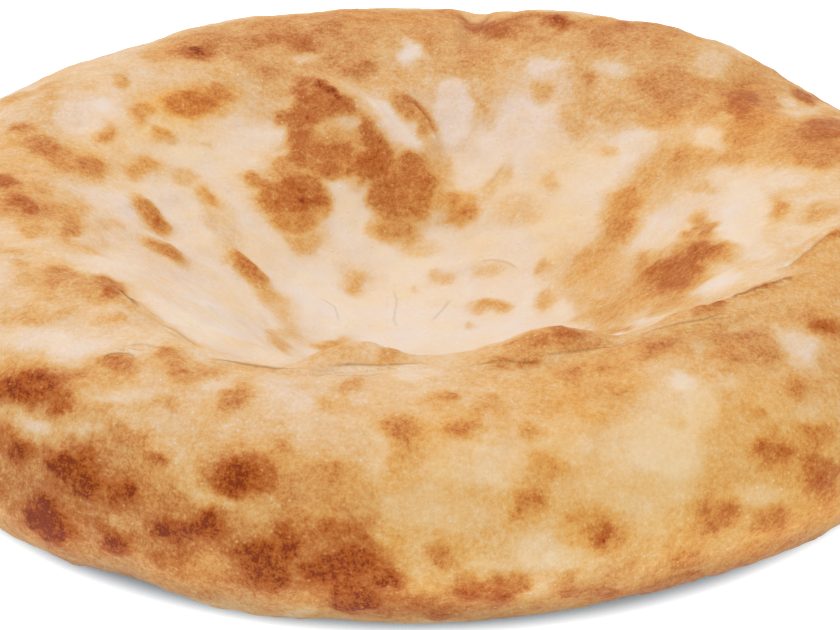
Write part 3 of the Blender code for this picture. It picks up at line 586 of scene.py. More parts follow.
def mix_colours(tree, share, first, second, blend_type="MIX"):
    """The first colour, mixed with the second or multiplied by it."""
    return add_node(
        tree, "ShaderNodeMix", {"Factor": share, "A": first, "B": second},
        data_type="RGBA", blend_type=blend_type).outputs[2]


def named_attribute(tree, name):
    """A value that the mesh stores at each of its points, for geometry nodes."""
    return add_node(tree, "GeometryNodeInputNamedAttribute", {
        "Name": name}, data_type="FLOAT").outputs["Attribute"]


# ---------------------------------------------------------------- plain form
def around_the_rim(bearing):
    """Columns of RIM_STATIONS at each bearing, joined by a smooth closed curve."""
    keys = sorted(RIM_STATIONS)
    values = np.array([RIM_STATIONS[key] for key in keys])
    place = np.mod(bearing, 360.0) * len(keys) / 360.0
    first = np.floor(place).astype(int) % len(keys)
    part = (place - np.floor(place))[:, None]
    before, start, end, after = (values[(first + offset) % len(keys)] for offset in (-1, 0, 1, 2))
    run = end - before
    square = 2 * before - 5 * start + 4 * end - after
    cubic = 3 * start - before - 3 * end + after
    return 0.5 * (2 * start + run * part + square * part ** 2 + cubic * part ** 3)


def ease(share):
    """Smooth step from 0 to 1."""
    share = np.clip(share, 0, 1)
    return share * share * (3 - 2 * share)


def plain_crust(bearing, reach):
    """Points of the loaf before any folds, for arrays of bearings and reaches."""
    crest, widest, foot, crest_height, widest_height, flat = around_the_rim(bearing).T
    inner = np.clip(reach / REACH_CREST, 0, 1)
    climb = ease((inner - flat) / (1 - flat))
    dish_height = DISH_FLOOR_HEIGHT + (crest_height - DISH_FLOOR_HEIGHT) * climb

    shoulder = np.clip((reach - REACH_CREST) / (REACH_WIDE - REACH_CREST), 0, 1) * math.pi / 2
    power = 2 / WALL_SQUARENESS
    shoulder_radius = crest + (widest - crest) * np.sin(shoulder) ** power
    shoulder_height = widest_height + (crest_height - widest_height) * np.abs(np.cos(shoulder)) ** power

    under = np.clip((reach - REACH_WIDE) / (REACH_FOOT - REACH_WIDE), 0, 1) * math.pi / 2
    under_radius = foot + (widest - foot) * np.cos(under)
    under_height = widest_height * (1 - np.sin(under))

    zones = [reach <= REACH_CREST, reach <= REACH_WIDE]
    radius = np.select(zones, [crest * inner, shoulder_radius], under_radius)
    height = np.select(zones, [dish_height, shoulder_height], under_height)
    angle = np.radians(bearing)
    return np.stack([radius * np.cos(angle), radius * np.sin(angle), height], axis=-1)


def outward(bearing, reach):
    """Unit normals of the plain form, pointing out of the loaf."""
    reach = np.maximum(reach, 2 * SLOPE_STEP)
    turn = np.degrees(SLOPE_STEP / reach)
    sideways = plain_crust(bearing + turn, reach) - plain_crust(bearing - turn, reach)
    outwards = plain_crust(bearing, reach + SLOPE_STEP) - plain_crust(bearing, reach - SLOPE_STEP)
    normal = np.cross(outwards, sideways)
    return normal / np.linalg.norm(normal, axis=-1, keepdims=True)


# ---------------------------------------------------------------- relief
def smooth_path(stations):
    """Points and normals of a path through its stations, with its corners rounded."""
    bearing, reach = np.array(stations, dtype=float).T
    steps = PATH_STEPS * (len(stations) - 1) + 1
    place = np.linspace(0, len(stations) - 1, steps)
    bearing = np.interp(place, range(len(stations)), bearing)
    reach = np.interp(place, range(len(stations)), reach)
    for _ in range(CORNER_ROUNDING):
        bearing[1:-1] = (bearing[:-2] + 2 * bearing[1:-1] + bearing[2:]) / 4
        reach[1:-1] = (reach[:-2] + 2 * reach[1:-1] + reach[2:]) / 4
    return plain_crust(bearing, reach), outward(bearing, reach)


def beside_path(points, stations):
    """Distance from a path, positive on its left, and a strength that fades at both ends."""
    line, normals = smooth_path(stations)
    nearest = np.full(len(points), np.inf)
    aside = np.full(len(points), np.inf)
    for start, end, normal in zip(line[:-1], line[1:], normals[:-1]):
        run = end - start
        part = np.clip((points - start) @ run / (run @ run), 0, 1)
        gap = points - start - part[:, None] * run
        distance = np.linalg.norm(gap, axis=1)
        on_left = gap @ np.cross(normal, run) >= 0
        closer = distance < nearest
        nearest[closer] = distance[closer]
        aside[closer] = np.where(on_left, distance, -distance)[closer]
    fade_length = FADE_SHARE * np.linalg.norm(np.diff(line, axis=0), axis=1).sum()
    first = (line[2] - line[0]) / np.linalg.norm(line[2] - line[0])
    last = (line[-1] - line[-3]) / np.linalg.norm(line[-1] - line[-3])
    rise = (points - line[0]) @ first / fade_length
    fall = (line[-1] - points) @ last / fade_length
    return aside, ease(rise) * ease(fall)


def ridge_relief(points, stations, height, steep, gentle):
    """Height of one ridge, worked out only for the points near its path."""
    line, _ = smooth_path(stations)
    margin = 3 * max(steep, gentle)
    near = np.all((points > line.min(axis=0) - margin) & (points < line.max(axis=0) + margin), axis=1)
    aside, strength = beside_path(points[near], stations)
    width = np.where(aside > 0, steep, gentle)
    relief = np.zeros(len(points))
    relief[near] = height * strength * np.exp(-(aside / width) ** 2)
    return relief


def oval_spread(points, bearing, reach, half_around, half_along, turn):
    """Square of the distance from the middle of an oval lying on the crust, 1 on its edge."""
    middle = plain_crust(np.array([bearing]), np.array([reach]))[0]
    normal = outward(np.array([bearing]), np.array([reach]))[0]
    around = np.cross((0.0, 0.0, 1.0), middle)
    around /= np.linalg.norm(around)
    along = np.cross(normal, around)
    lean = math.radians(turn)
    first = math.cos(lean) * around + math.sin(lean) * along
    second = math.cos(lean) * along - math.sin(lean) * around
    offset = points - middle
    flat_spread = (offset @ first / half_around) ** 2 + (offset @ second / half_along) ** 2
    return flat_spread + (offset @ normal / max(half_around, half_along)) ** 2


def hills(points, wavelength, seed):
    """Random smooth hills of about one wavelength, alike in all directions."""
    chance = np.random.default_rng(seed)
    height = np.zeros(len(points))
    for _ in range(WAVES_IN_A_LAYER):
        heading = chance.normal(size=3)
        spread = chance.uniform(1 - WAVELENGTH_SPREAD, 1 + WAVELENGTH_SPREAD)
        heading *= 2 * math.pi * spread / (wavelength * np.linalg.norm(heading))
        height += np.cos(points @ heading + chance.uniform(0, 2 * math.pi))
    return height * math.sqrt(2 / WAVES_IN_A_LAYER)


def crust_relief(points):
    """Height of the folds, creases, wrinkles, blisters, swells and hills over the plain form."""
    relief = np.zeros(len(points))
    for stations, height, steep, gentle in FOLDS.values():
        relief += ridge_relief(points, stations, height, steep, gentle)
    for stations, depth, width in (*CREASES.values(), *WRINKLES.values()):
        relief -= ridge_relief(points, stations, depth, width, width)
    for bearing, reach, half_around, half_along, turn, height in BLISTERS.values():
        spread = oval_spread(points, bearing, reach, half_around, half_along, turn)
        relief += height * np.clip(1 - spread / DOME_EDGE, 0, 1) ** 2
    for bearing, reach, half_around, half_along, rise in SWELLS.values():
        relief += rise * np.exp(-oval_spread(points, bearing, reach, half_around, half_along, 0))
    for wavelength, height, seed in UNDULATIONS:
        relief += height * hills(points, wavelength, seed)
    return relief


# ---------------------------------------------------------------- camera and marks
def camera_matrix(studio):
    """The camera's place and turn: it looks at the pivot, which falls on PIVOT_PIXEL."""
    elevation = math.radians(studio.camera_elevation)
    away = Vector((0, -math.cos(elevation), math.sin(elevation)))
    place = CAMERA_PIVOT + away * studio.camera_distance
    looking = (-away).to_track_quat("-Z", "Y").to_matrix()
    yaw = math.atan((PIVOT_PIXEL[0] - PICTURE_WIDTH / 2) / FOCAL_PIXELS)
    pitch = math.atan((PIVOT_PIXEL[1] - PICTURE_HEIGHT / 2) / FOCAL_PIXELS)
    turn = looking @ Matrix.Rotation(pitch, 3, "X") @ Matrix.Rotation(yaw, 3, "Y")
    return Matrix.Translation(place) @ turn.to_4x4()


def picture_ray(camera, x, y):
    """Direction in which the camera sees a pixel of the picture."""
    aim = Vector((x - PICTURE_WIDTH / 2, PICTURE_HEIGHT / 2 - y, -FOCAL_PIXELS)).normalized()
    return camera.to_3x3() @ aim


class PictureMark:
    """An oval mark of the picture, laid on the crust where the camera sees it."""

    LONGEST_STRETCH = 3.6
    SHALLOWEST_VIEW = 0.12

    def __init__(self, camera, surface, mark):
        x, y, half_width, half_height, lean, self.depth = mark
        self.edge = min(WIDEST_EDGE, EDGE_PIXELS / min(half_width, half_height))
        turn = camera.to_3x3()
        ray = picture_ray(camera, x, y)
        hit, normal, _, distance = surface.ray_cast(camera.translation, ray)
        self.found = hit is not None
        if not self.found:
            return
        pixel = distance / FOCAL_PIXELS
        lean = math.radians(lean)
        across = turn @ Vector((math.cos(lean), math.sin(lean), 0))
        upright = turn @ Vector((-math.sin(lean), math.cos(lean), 0))
        facing = min(ray.dot(normal), -self.SHALLOWEST_VIEW)
        self.axes = []
        for direction, half in ((across, half_width), (upright, half_height)):
            flat = direction - ray * (direction.dot(normal) / facing)
            flat *= min(1, self.LONGEST_STRETCH / flat.length)
            self.axes.append(np.array(flat * half * pixel))
        self.middle = np.array(hit)
        self.normal = np.array(normal)

    def spread(self, points):
        """Square of the distance from the mark's middle, 1 on its edge."""
        first, second = self.axes
        offset = points - self.middle
        depth = offset @ self.normal
        flat = offset - depth[:, None] * self.normal
        firsts, seconds = flat @ first, flat @ second
        square = np.array([[first @ first, first @ second], [first @ second, second @ second]])
        inverse = np.linalg.inv(square)
        one = inverse[0, 0] * firsts + inverse[0, 1] * seconds
        two = inverse[1, 0] * firsts + inverse[1, 1] * seconds
        size = max(np.linalg.norm(first), np.linalg.norm(second))
        return one ** 2 + two ** 2 + (depth / size) ** 2


def crease_on_crust(path, camera, surface):
    """Points and normals where the camera sees a crease's path on the crust."""
    xs, ys = np.array(path, dtype=float).T
    place = np.linspace(0, len(path) - 1, CREASE_STEPS * (len(path) - 1) + 1)
    xs, ys = (np.interp(place, range(len(path)), values) for values in (xs, ys))
    hits = [surface.ray_cast(camera.translation, picture_ray(camera, x, y)) for x, y in zip(xs, ys)]
    line = np.array([hit for hit, _, _, _ in hits if hit is not None])
    normals = np.array([normal for hit, normal, _, _ in hits if hit is not None])
    return line, normals


def crease_offsets(points, camera, surface):
    """Distance from the nearest fine crease in half-widths, positive beyond it, the depth of the painted
    shade along it, and its step in browning."""
    offset = np.full(len(points), FAR_FROM_CREASE)
    shade_depth = np.zeros(len(points))
    step = np.zeros(len(points))
    nearest = np.full(len(points), CREASE_REACH)
    for half_width, depth, browner, path in CREASE_LINES.values():
        line, normals = crease_on_crust(path, camera, surface)
        along = np.concatenate([[0], np.cumsum(np.linalg.norm(np.diff(line, axis=0), axis=1))])
        for index in range(len(line) - 1):
            run = line[index + 1] - line[index]
            away = np.linalg.norm(points - line[index], axis=1)
            close = np.flatnonzero(away < CREASE_REACH + np.linalg.norm(run))
            part = np.clip((points[close] - line[index]) @ run / (run @ run), 0, 1)
            gap = points[close] - line[index] - part[:, None] * run
            distance = np.linalg.norm(gap, axis=1)
            better = distance < nearest[close]
            chosen = close[better]
            side = np.where(gap[better] @ np.cross(normals[index], run) >= 0, 1, -1)
            share = (along[index] + part[better] * np.linalg.norm(run)) / along[-1]
            nearest[chosen] = distance[better]
            offset[chosen] = side * distance[better] / (half_width * MM)
            ends = ease(share / CREASE_END_SHARE) * ease((1 - share) / CREASE_END_SHARE)
            sides = ease((CREASE_REACH - distance[better]) / (CREASE_SIDE_SHARE * CREASE_REACH))
            shade_depth[chosen] = depth * ends * sides
            step[chosen] = browner * ends * ease(1 - distance[better] / CREASE_REACH)
    return offset, shade_depth, step


def picture_marks(marks, camera, surface):
    """The marks of a list that fall on the crust."""
    laid = (PictureMark(camera, surface, mark) for mark in marks)
    return [mark for mark in laid if mark.found]


def spot_strength(spread, edge):
    """1 in the middle of a spot, 0.5 on its edge, which is soft over a share of its size."""
    return 1 - ease((np.sqrt(spread) - 1 + edge) / (2 * edge))


def halo_strength(spread):
    """1 over a spot and a little beyond it, with a very soft edge."""
    return 1 - ease((np.sqrt(spread) - HALO_CORE) / (HALO_EDGE - HALO_CORE))


def area_strength(spread):
    """1 in the middle of a broad area, easing off slowly."""
    return 1 - ease((np.sqrt(spread) - AREA_CORE) / AREA_EDGE)


def hidden_spots(camera):
    """Seeded spots on the crust that the picture doesn't show: bearing, reach, sizes, turn, depth."""
    chance = np.random.default_rng(HIDDEN_SPOT_SEED)
    into_camera = camera.inverted()
    spots = []
    while len(spots) < HIDDEN_SPOTS:
        bearing = chance.uniform(0, 360)
        reach = chance.uniform(*HIDDEN_SPOT_REACH)
        half_around = chance.uniform(*HIDDEN_SPOT_SIZE) * MM
        half_along = half_around * chance.uniform(*HIDDEN_SPOT_ROUNDNESS)
        depth = chance.uniform(*HIDDEN_SPOT_DEPTH)
        turn = chance.uniform(*HIDDEN_SPOT_TURN)
        middle = plain_crust(np.array([bearing]), np.array([reach]))[0]
        normal = outward(np.array([bearing]), np.array([reach]))[0]
        seen = into_camera @ Vector(middle)
        x = PICTURE_WIDTH / 2 - seen.x / seen.z * FOCAL_PIXELS
        facing = Vector(normal).dot((camera.translation - Vector(middle)).normalized())
        if facing > SEEN_FACING and -SEEN_MARGIN < x < PICTURE_WIDTH + SEEN_MARGIN:
            continue
        spots.append((bearing, reach, half_around, half_along, turn, depth))
    return spots


def wandering(points, layers):
    """The points, each moved a little way, so that the edges of marks wander."""
    drift = np.zeros_like(points)
    for wavelength, distance, seeds in layers:
        drift += np.stack([hills(points, wavelength, seed) for seed in seeds], axis=1) * distance
    return points + drift


def toast_of(points, reach, ragged, camera, surface):
    """The plain browning of each point, before any spots."""
    reaches, toasts = np.array(TOAST_BY_REACH).T
    wavelength, swing, seed = UNEVEN_TOAST
    uneven = swing * hills(points, wavelength, seed) * np.clip(reach / UNEVEN_REACH, 0, 1)
    toast = np.interp(reach, reaches, toasts) + uneven
    for area in picture_marks(TOASTED_AREAS, camera, surface):
        toast += area_strength(area.spread(ragged)) * np.maximum(area.depth - toast, 0)
    return toast


def all_spots(ragged, camera, surface):
    """Every browned spot: its spread at each point, its edge and its depth."""
    spots = []
    for spot in picture_marks(BROWN_SPOTS, camera, surface):
        spots.append((spot.spread(ragged), spot.edge, spot.depth))
    for bearing, reach, half_around, half_along, turn, depth in hidden_spots(camera):
        spread = oval_spread(ragged, bearing, reach, half_around, half_along, turn)
        spots.append((spread, HIDDEN_EDGE, depth))
    return spots


def browning_of(points, reach, camera, surface):
    """How brown each point of the upper crust is, and how far its spots rise."""
    ragged = wandering(points, MARK_DRIFT)
    spots = all_spots(ragged, camera, surface)
    left_pale = 1 - toast_of(points, reach, ragged, camera, surface)
    for spread, _, depth in spots:
        left_pale *= 1 - HALO_SHARE * depth * halo_strength(spread)
    brown = 1 - left_pale
    lift = np.zeros(len(points))
    rise = np.zeros(len(points))
    for spread, edge, depth in spots:
        strength = spot_strength(spread, edge)
        lift = np.maximum(lift, strength * (depth - brown))
        rise = np.maximum(rise, depth ** 2 * strength)
    brown += lift
    for patch in picture_marks(PALE_PATCHES, camera, surface):
        brown *= 1 - patch.depth * spot_strength(patch.spread(ragged), patch.edge)
    aside, strength = beside_path(points, PALE_STRIP)
    start, start_edge = PALE_STRIP_START
    end, end_edge = PALE_STRIP_END
    pale_side = ease((aside - start) / start_edge) * ease((end - aside) / end_edge)
    brown *= 1 - PALE_STRIP_DEPTH * pale_side * strength
    return np.clip(brown, 0, 1), rise


def warmth_of(points, camera, surface):
    """How golden the crust is at each point, from -1, floury, to 1."""
    warmth = np.zeros(len(points))
    for area in picture_marks(WARM_AREAS, camera, surface):
        warmth += area.depth * area_strength(area.spread(points))
    return np.clip(warmth, -1, 1)


# ---------------------------------------------------------------- crust mesh
def ball_of_quads(squares):
    """A cube cut into even squares, and the direction of each of its corners."""
    ball = bmesh.new()
    bmesh.ops.create_cube(ball, size=2.0)
    bmesh.ops.subdivide_edges(ball, edges=ball.edges[:], cuts=squares - 1, use_grid_fill=True)
    bmesh.ops.recalc_face_normals(ball, faces=ball.faces[:])
    corners = np.array([vert.co[:] for vert in ball.verts])
    corners = np.tan(corners * math.pi / 4)
    return ball, corners / np.linalg.norm(corners, axis=1, keepdims=True)


def underside_browning(points):
    """Toast and spots of the flat underside, which baked against the hot clay."""
    chance = np.random.default_rng(HIDDEN_SPOT_SEED + 1)
    brown = np.full(len(points), UNDERSIDE_TOAST)
    for wavelength, swing, seed in UNDERSIDE_UNEVEN:
        brown += swing * hills(points, wavelength, seed)
    ragged = wandering(points, UNDERSIDE_DRIFT)
    for _ in range(UNDERSIDE_SPOTS):
        angle = chance.uniform(0, 2 * math.pi)
        out = UNDERSIDE_REACH * math.sqrt(chance.uniform())
        middle = np.array([out * math.cos(angle), out * math.sin(angle), 0])
        radius = chance.uniform(*UNDERSIDE_SPOT_SIZE) * MM
        depth = chance.uniform(*UNDERSIDE_SPOT_DEPTH)
        spread = ((ragged - middle) ** 2).sum(axis=1) / radius ** 2
        brown = np.maximum(brown, depth * spot_strength(spread, HIDDEN_EDGE))
    return np.clip(brown, 0, 1)


def make_crust_mesh(form, studio):
    """The loaf's closed mesh, with its browning and its room for relief as attributes."""
    ball, direction = ball_of_quads(form.cage_squares)
    share = (1 - direction[:, 2]) / 2
    bearing = np.degrees(np.arctan2(direction[:, 1], direction[:, 0]))
    reach = REACH_FOOT * np.sqrt(np.minimum(share / UPPER_SHARE, 1))
    normals = outward(bearing, reach)
    room = np.clip((REACH_FOOT - reach) / (REACH_FOOT - REACH_FADE), 0, 1)
    points = plain_crust(bearing, reach)
    points += normals * (crust_relief(points) * room)[:, None]
    points[:, 2] = np.maximum(points[:, 2], 0)
    inwards = np.sqrt(np.clip((1 - share) / (1 - UPPER_SHARE), 0, 1))
    points[:, :2] *= inwards[:, None]

    faces = [[vert.index for vert in face.verts] for face in ball.faces]
    surface = BVHTree.FromPolygons(points.tolist(), faces)
    camera = camera_matrix(studio)
    brown, rise = browning_of(points, reach, camera, surface)
    crease_offset, crease_shade_depth, crease_step = crease_offsets(points, camera, surface)
    below = share > UPPER_SHARE
    blend = ease((share - UPPER_SHARE) / UNDERSIDE_EDGE)
    brown = brown * (1 - blend) + underside_browning(points) * blend
    points += normals * (SPOT_RISE * form.spot_relief * rise * room * ~below)[:, None]
    points[:, 2] = np.maximum(points[:, 2], 0)

    cad_low, cad_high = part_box(BREAD_NODE)
    middle = (points.min(axis=0) + points.max(axis=0)) / 2
    points[:, :2] += np.array((cad_low + cad_high) / 2)[:2] - middle[:2]

    for vert, point in zip(ball.verts, points):
        vert.co = point
    mesh = bpy.data.meshes.new("crust")
    ball.to_mesh(mesh)
    ball.free()
    stored = {
        "browning": brown, "relief_room": room * ~below,
        "crease_offset": crease_offset, "crease_shade_depth": crease_shade_depth, "crease_step": crease_step,
        "warmth": warmth_of(points, camera, surface)}
    for name, values in stored.items():
        attribute = mesh.attributes.new(name, "FLOAT", "POINT")
        attribute.data.foreach_set("value", values.astype(np.float32))
    mesh.shade_smooth()
    return mesh


# ---------------------------------------------------------------- micro blisters
def small_blisters_tree(blisters):
    """Geometry nodes that raise small round blisters, more of them where the crust is brown."""
    tree = bpy.data.node_groups.new("small_blisters", "GeometryNodeTree")
    interface = tree.interface
    interface.new_socket("Geometry", in_out="INPUT", socket_type="NodeSocketGeometry")
    for name, value in (
            ("Spacing", blisters.spacing), ("Smallest Radius", blisters.smallest_radius),
            ("Largest Radius", blisters.largest_radius), ("Height", blisters.height)):
        socket = interface.new_socket(name, in_out="INPUT", socket_type="NodeSocketFloat")
        socket.default_value = value
    seed = interface.new_socket("Seed", in_out="INPUT", socket_type="NodeSocketInt")
    seed.default_value = blisters.seed
    interface.new_socket("Crust", in_out="INPUT", socket_type="NodeSocketMaterial")
    interface.new_socket("Geometry", in_out="OUTPUT", socket_type="NodeSocketGeometry")

    # Points, more of them where it is brown, and each with the radius of its blister.
    given = add_node(tree, "NodeGroupInput").outputs
    room = named_attribute(tree, "relief_room")
    crowding = remap(tree, named_attribute(tree, "browning"), 0.15, 0.60, 0.05, 1.0)
    scatter = add_node(tree, "GeometryNodeDistributePointsOnFaces", {
        "Mesh": given["Geometry"], "Distance Min": given["Spacing"],
        "Density Max": BLISTERS_IN_SQUARE_METRE,
        "Density Factor": calculate(tree, "MULTIPLY", crowding, room),
        "Seed": given["Seed"]}, distribute_method="POISSON")
    radius = add_node(tree, "FunctionNodeRandomValue", {
        "Min": given["Smallest Radius"], "Max": given["Largest Radius"], "Seed": given["Seed"]},
        data_type="FLOAT")
    sized = add_node(tree, "GeometryNodeStoreNamedAttribute", {
        "Geometry": scatter.outputs["Points"], "Name": "blister_radius",
        "Value": radius.outputs["Value"]}, data_type="FLOAT", domain="POINT").outputs["Geometry"]

    # How far the crust is from the nearest of them, as a share of that blister's radius.
    place = add_node(tree, "GeometryNodeInputPosition").outputs["Position"]
    nearest = add_node(tree, "GeometryNodeSampleNearest", {
        "Geometry": sized}, domain="POINT").outputs["Index"]
    middle = add_node(tree, "GeometryNodeSampleIndex", {
        "Geometry": sized, "Value": place, "Index": nearest},
        data_type="FLOAT_VECTOR", domain="POINT").outputs["Value"]
    reach = add_node(tree, "GeometryNodeSampleIndex", {
        "Geometry": sized, "Value": named_attribute(tree, "blister_radius"), "Index": nearest},
        data_type="FLOAT", domain="POINT").outputs["Value"]
    gap = add_node(tree, "ShaderNodeVectorMath", {
        0: place, 1: middle}, operation="DISTANCE").outputs["Value"]
    dome = soft_remap(tree, calculate(tree, "DIVIDE", gap, reach), 0.2, 1.0, 1.0, 0.0)

    # The crust raised there, and the material that covers it.
    raised_share = calculate(tree, "MULTIPLY", dome, room)
    lift = add_node(tree, "ShaderNodeVectorMath", {
        0: add_node(tree, "GeometryNodeInputNormal").outputs["Normal"],
        "Scale": calculate(tree, "MULTIPLY", raised_share, given["Height"])}, operation="SCALE")
    raised = add_node(tree, "GeometryNodeSetPosition", {
        "Geometry": given["Geometry"], "Offset": lift.outputs["Vector"]})
    real = add_node(tree, "GeometryNodeRealizeInstances", {"Geometry": raised.outputs["Geometry"]})
    coated = add_node(tree, "GeometryNodeSetMaterial", {
        "Geometry": real.outputs["Geometry"], "Material": given["Crust"]})
    add_node(tree, "NodeGroupOutput", {"Geometry": coated.outputs["Geometry"]})
    return tree


def socket_key(tree, name):
    """Identifier of an input of a node tree, by which a modifier sets it."""
    return next(item.identifier for item in tree.interface.items_tree
                if item.name == name and item.in_out == "INPUT")


def raise_small_blisters(loaf, blisters, material):
    """Run the blister tree on the loaf and keep its result as a plain mesh."""
    tree = small_blisters_tree(blisters)
    modifier = loaf.modifiers.new("small_blisters", "NODES")
    modifier.node_group = tree
    values = {
        "Spacing": blisters.spacing, "Smallest Radius": blisters.smallest_radius,
        "Largest Radius": blisters.largest_radius, "Height": blisters.height,
        "Seed": blisters.seed, "Crust": material}
    for name, value in values.items():
        modifier[socket_key(tree, name)] = value
    evaluated = loaf.evaluated_get(bpy.context.evaluated_depsgraph_get())
    mesh = bpy.data.meshes.new_from_object(evaluated)
    loaf.modifiers.remove(modifier)
    loaf.data = mesh
    mesh.shade_smooth()


# ---------------------------------------------------------------- materials
def empty_material(name):
    """A new material without nodes, and its node tree."""
    material = bpy.data.materials.new(name)
    material.use_nodes = True
    material.node_tree.nodes.clear()
    return material, material.node_tree


def baked_colour(tree, depth, finish):
    """The colour of the crust by how brown it is, from raw dough to scorched."""
    ramp = add_node(tree, "ShaderNodeValToRGB", {"Fac": depth})
    ramp.color_ramp.interpolation = "LINEAR"
    stops = ramp.color_ramp.elements
    stages = (
        (0.0, finish.raw_dough), (0.25, finish.cream), (0.45, finish.gold), (0.60, finish.toast),
        (0.75, finish.brown), (0.90, finish.dark_brown), (1.0, finish.scorched))
    while len(stops) < len(stages):
        stops.new(0.5)
    for stop, (position, colour) in zip(stops, stages):
        stop.position = position
        stop.color = (*colour, 1.0)
    return ramp.outputs["Color"]


def pin_head_bubbles(tree, place):
    """Pin-head bubbles, one in a cell 2.1 mm wide, a third of the cells filled."""
    cells = add_node(tree, "ShaderNodeTexVoronoi", {"Vector": place, "Scale": 1 / (2.1 * MM)})
    shape = soft_remap(tree, cells.outputs["Distance"], 0.08, 0.30, 1.0, 0.0)
    pick = add_node(tree, "ShaderNodeSeparateColor", {"Color": cells.outputs["Color"]})
    return calculate(tree, "MULTIPLY", shape, remap(tree, pick.outputs["Red"], 0.60, 0.80))


def wheat_crust(finish):
    """Plain wheat dough baked dry on hot clay: matt and floury where pale, a little harder and
    smoother where it browned, with pin-head bubbles that stayed pale and tiny scorched pits."""
    material, tree = empty_material("wheat_crust_baked")
    place = add_node(tree, "ShaderNodeTexCoord").outputs["Object"]
    browning = stored_value(tree, "browning")

    # Mottling a few millimetres wide frays the edges of the spots; coarse grain is clumped flour,
    # and fine grain is the pores and scorched specks of the skin, strongest where it is brown.
    mottling = noise(tree, place, 5.0 * MM, Detail=3.0, Roughness=0.6)
    grain = noise(tree, place, 1.3 * MM, Detail=1.0, Roughness=0.5)
    pores = noise(tree, place, 0.55 * MM, Detail=1.0, Roughness=0.5)
    swing = remap(tree, browning, 0.03, 0.40, 0.16, 1.0)
    mottled, grained, pored = (
        remap(tree, pattern, 0.25, 0.75, -most, most, clamp=False)
        for pattern, most in ((mottling, 0.10), (grain, 0.085), (pores, 0.085)))
    clumps = calculate(tree, "ADD", mottled, grained)
    both = calculate(tree, "ADD", clumps, pored)
    varied = calculate(tree, "MULTIPLY_ADD", both, swing, browning)
    bubble = pin_head_bubbles(tree, place)
    bubble_seen = calculate(tree, "MULTIPLY", bubble, swing)
    blistered = calculate(tree, "ADD", varied, calculate(tree, "MULTIPLY", bubble_seen, -0.19))

    # Skin folded under baked less, so that the browning jumps across a fine crease.
    crease_offset = stored_value(tree, "crease_offset")
    near_side = soft_remap(tree, crease_offset, -1.0, 1.0, 1.0, -1.0)
    depth = calculate(
        tree, "MULTIPLY_ADD", near_side, stored_value(tree, "crease_step"), blistered, use_clamp=True)

    # The crust drifts between floury, a little rosy, and golden.
    tone = noise(tree, place, 11 * MM, Detail=3.0)
    drift = remap(tree, tone, 0.30, 0.70, -0.45, 0.45)
    warmer = calculate(tree, "ADD", drift, stored_value(tree, "warmth"))
    tint = mix_colours(
        tree, remap(tree, warmer, -1.0, 1.0), (*finish.floury_tint, 1.0), (*finish.golden_tint, 1.0))
    tinted = mix_colours(tree, 1.0, baked_colour(tree, depth, finish), tint, "MULTIPLY")

    # Painted shade: near the foot the crust is greyed, standing in for the shade where it meets the
    # paper.
    height = add_node(tree, "ShaderNodeSeparateXYZ", {"Vector": place}).outputs["Z"]
    low = soft_remap(tree, height, 4.0 * MM, 19.0 * MM, 1.0, 0.0)
    reach = add_node(tree, "ShaderNodeVectorMath", {0: place}, operation="LENGTH").outputs["Value"]
    foot_shade_share = calculate(tree, "MULTIPLY", low, remap(tree, reach, 105 * MM, 125 * MM))
    foot_shaded = mix_colours(tree, foot_shade_share, tinted, (*finish.foot_shade, 1.0), "MULTIPLY")

    # Painted shade: along a fine crease the colour is darkened in a line a little wider than its furrow.
    crease_gap = calculate(tree, "ABSOLUTE", crease_offset)
    crease_shape = soft_remap(tree, crease_gap, 0.2, 2.2, 1.0, 0.0)
    crease_shade_and_furrow = calculate(tree, "MULTIPLY", crease_shape, stored_value(tree, "crease_shade_depth"))
    coloured = mix_colours(tree, crease_shade_and_furrow, foot_shaded, (*finish.crease_shade, 1.0), "MULTIPLY")

    # Relief of the skin: grain, bubbles, mottling and furrows, each a share of a quarter of a mm.
    relief = calculate(tree, "MULTIPLY", grain, 0.35)
    for pattern, share in ((bubble, 0.7), (mottling, 1.2), (crease_shade_and_furrow, -1.5)):
        relief = calculate(tree, "MULTIPLY_ADD", pattern, share, relief)
    bump = add_node(tree, "ShaderNodeBump", {"Strength": 0.8, "Distance": 0.25 * MM, "Height": relief})

    shader = add_node(tree, "ShaderNodeBsdfPrincipled", {
        "Base Color": coloured, "Roughness": remap(tree, browning, 0.2, 0.9, 0.74, 0.56),
        "Normal": bump.outputs["Normal"], "IOR": 1.45, "Specular IOR Level": 0.16,
        "Subsurface Weight": 0.12, "Subsurface Radius": (1.0, 0.5, 0.25),
        "Subsurface Scale": 2.0 * MM})
    add_node(tree, "ShaderNodeOutputMaterial", {"Surface": shader.outputs["BSDF"]})
    return material


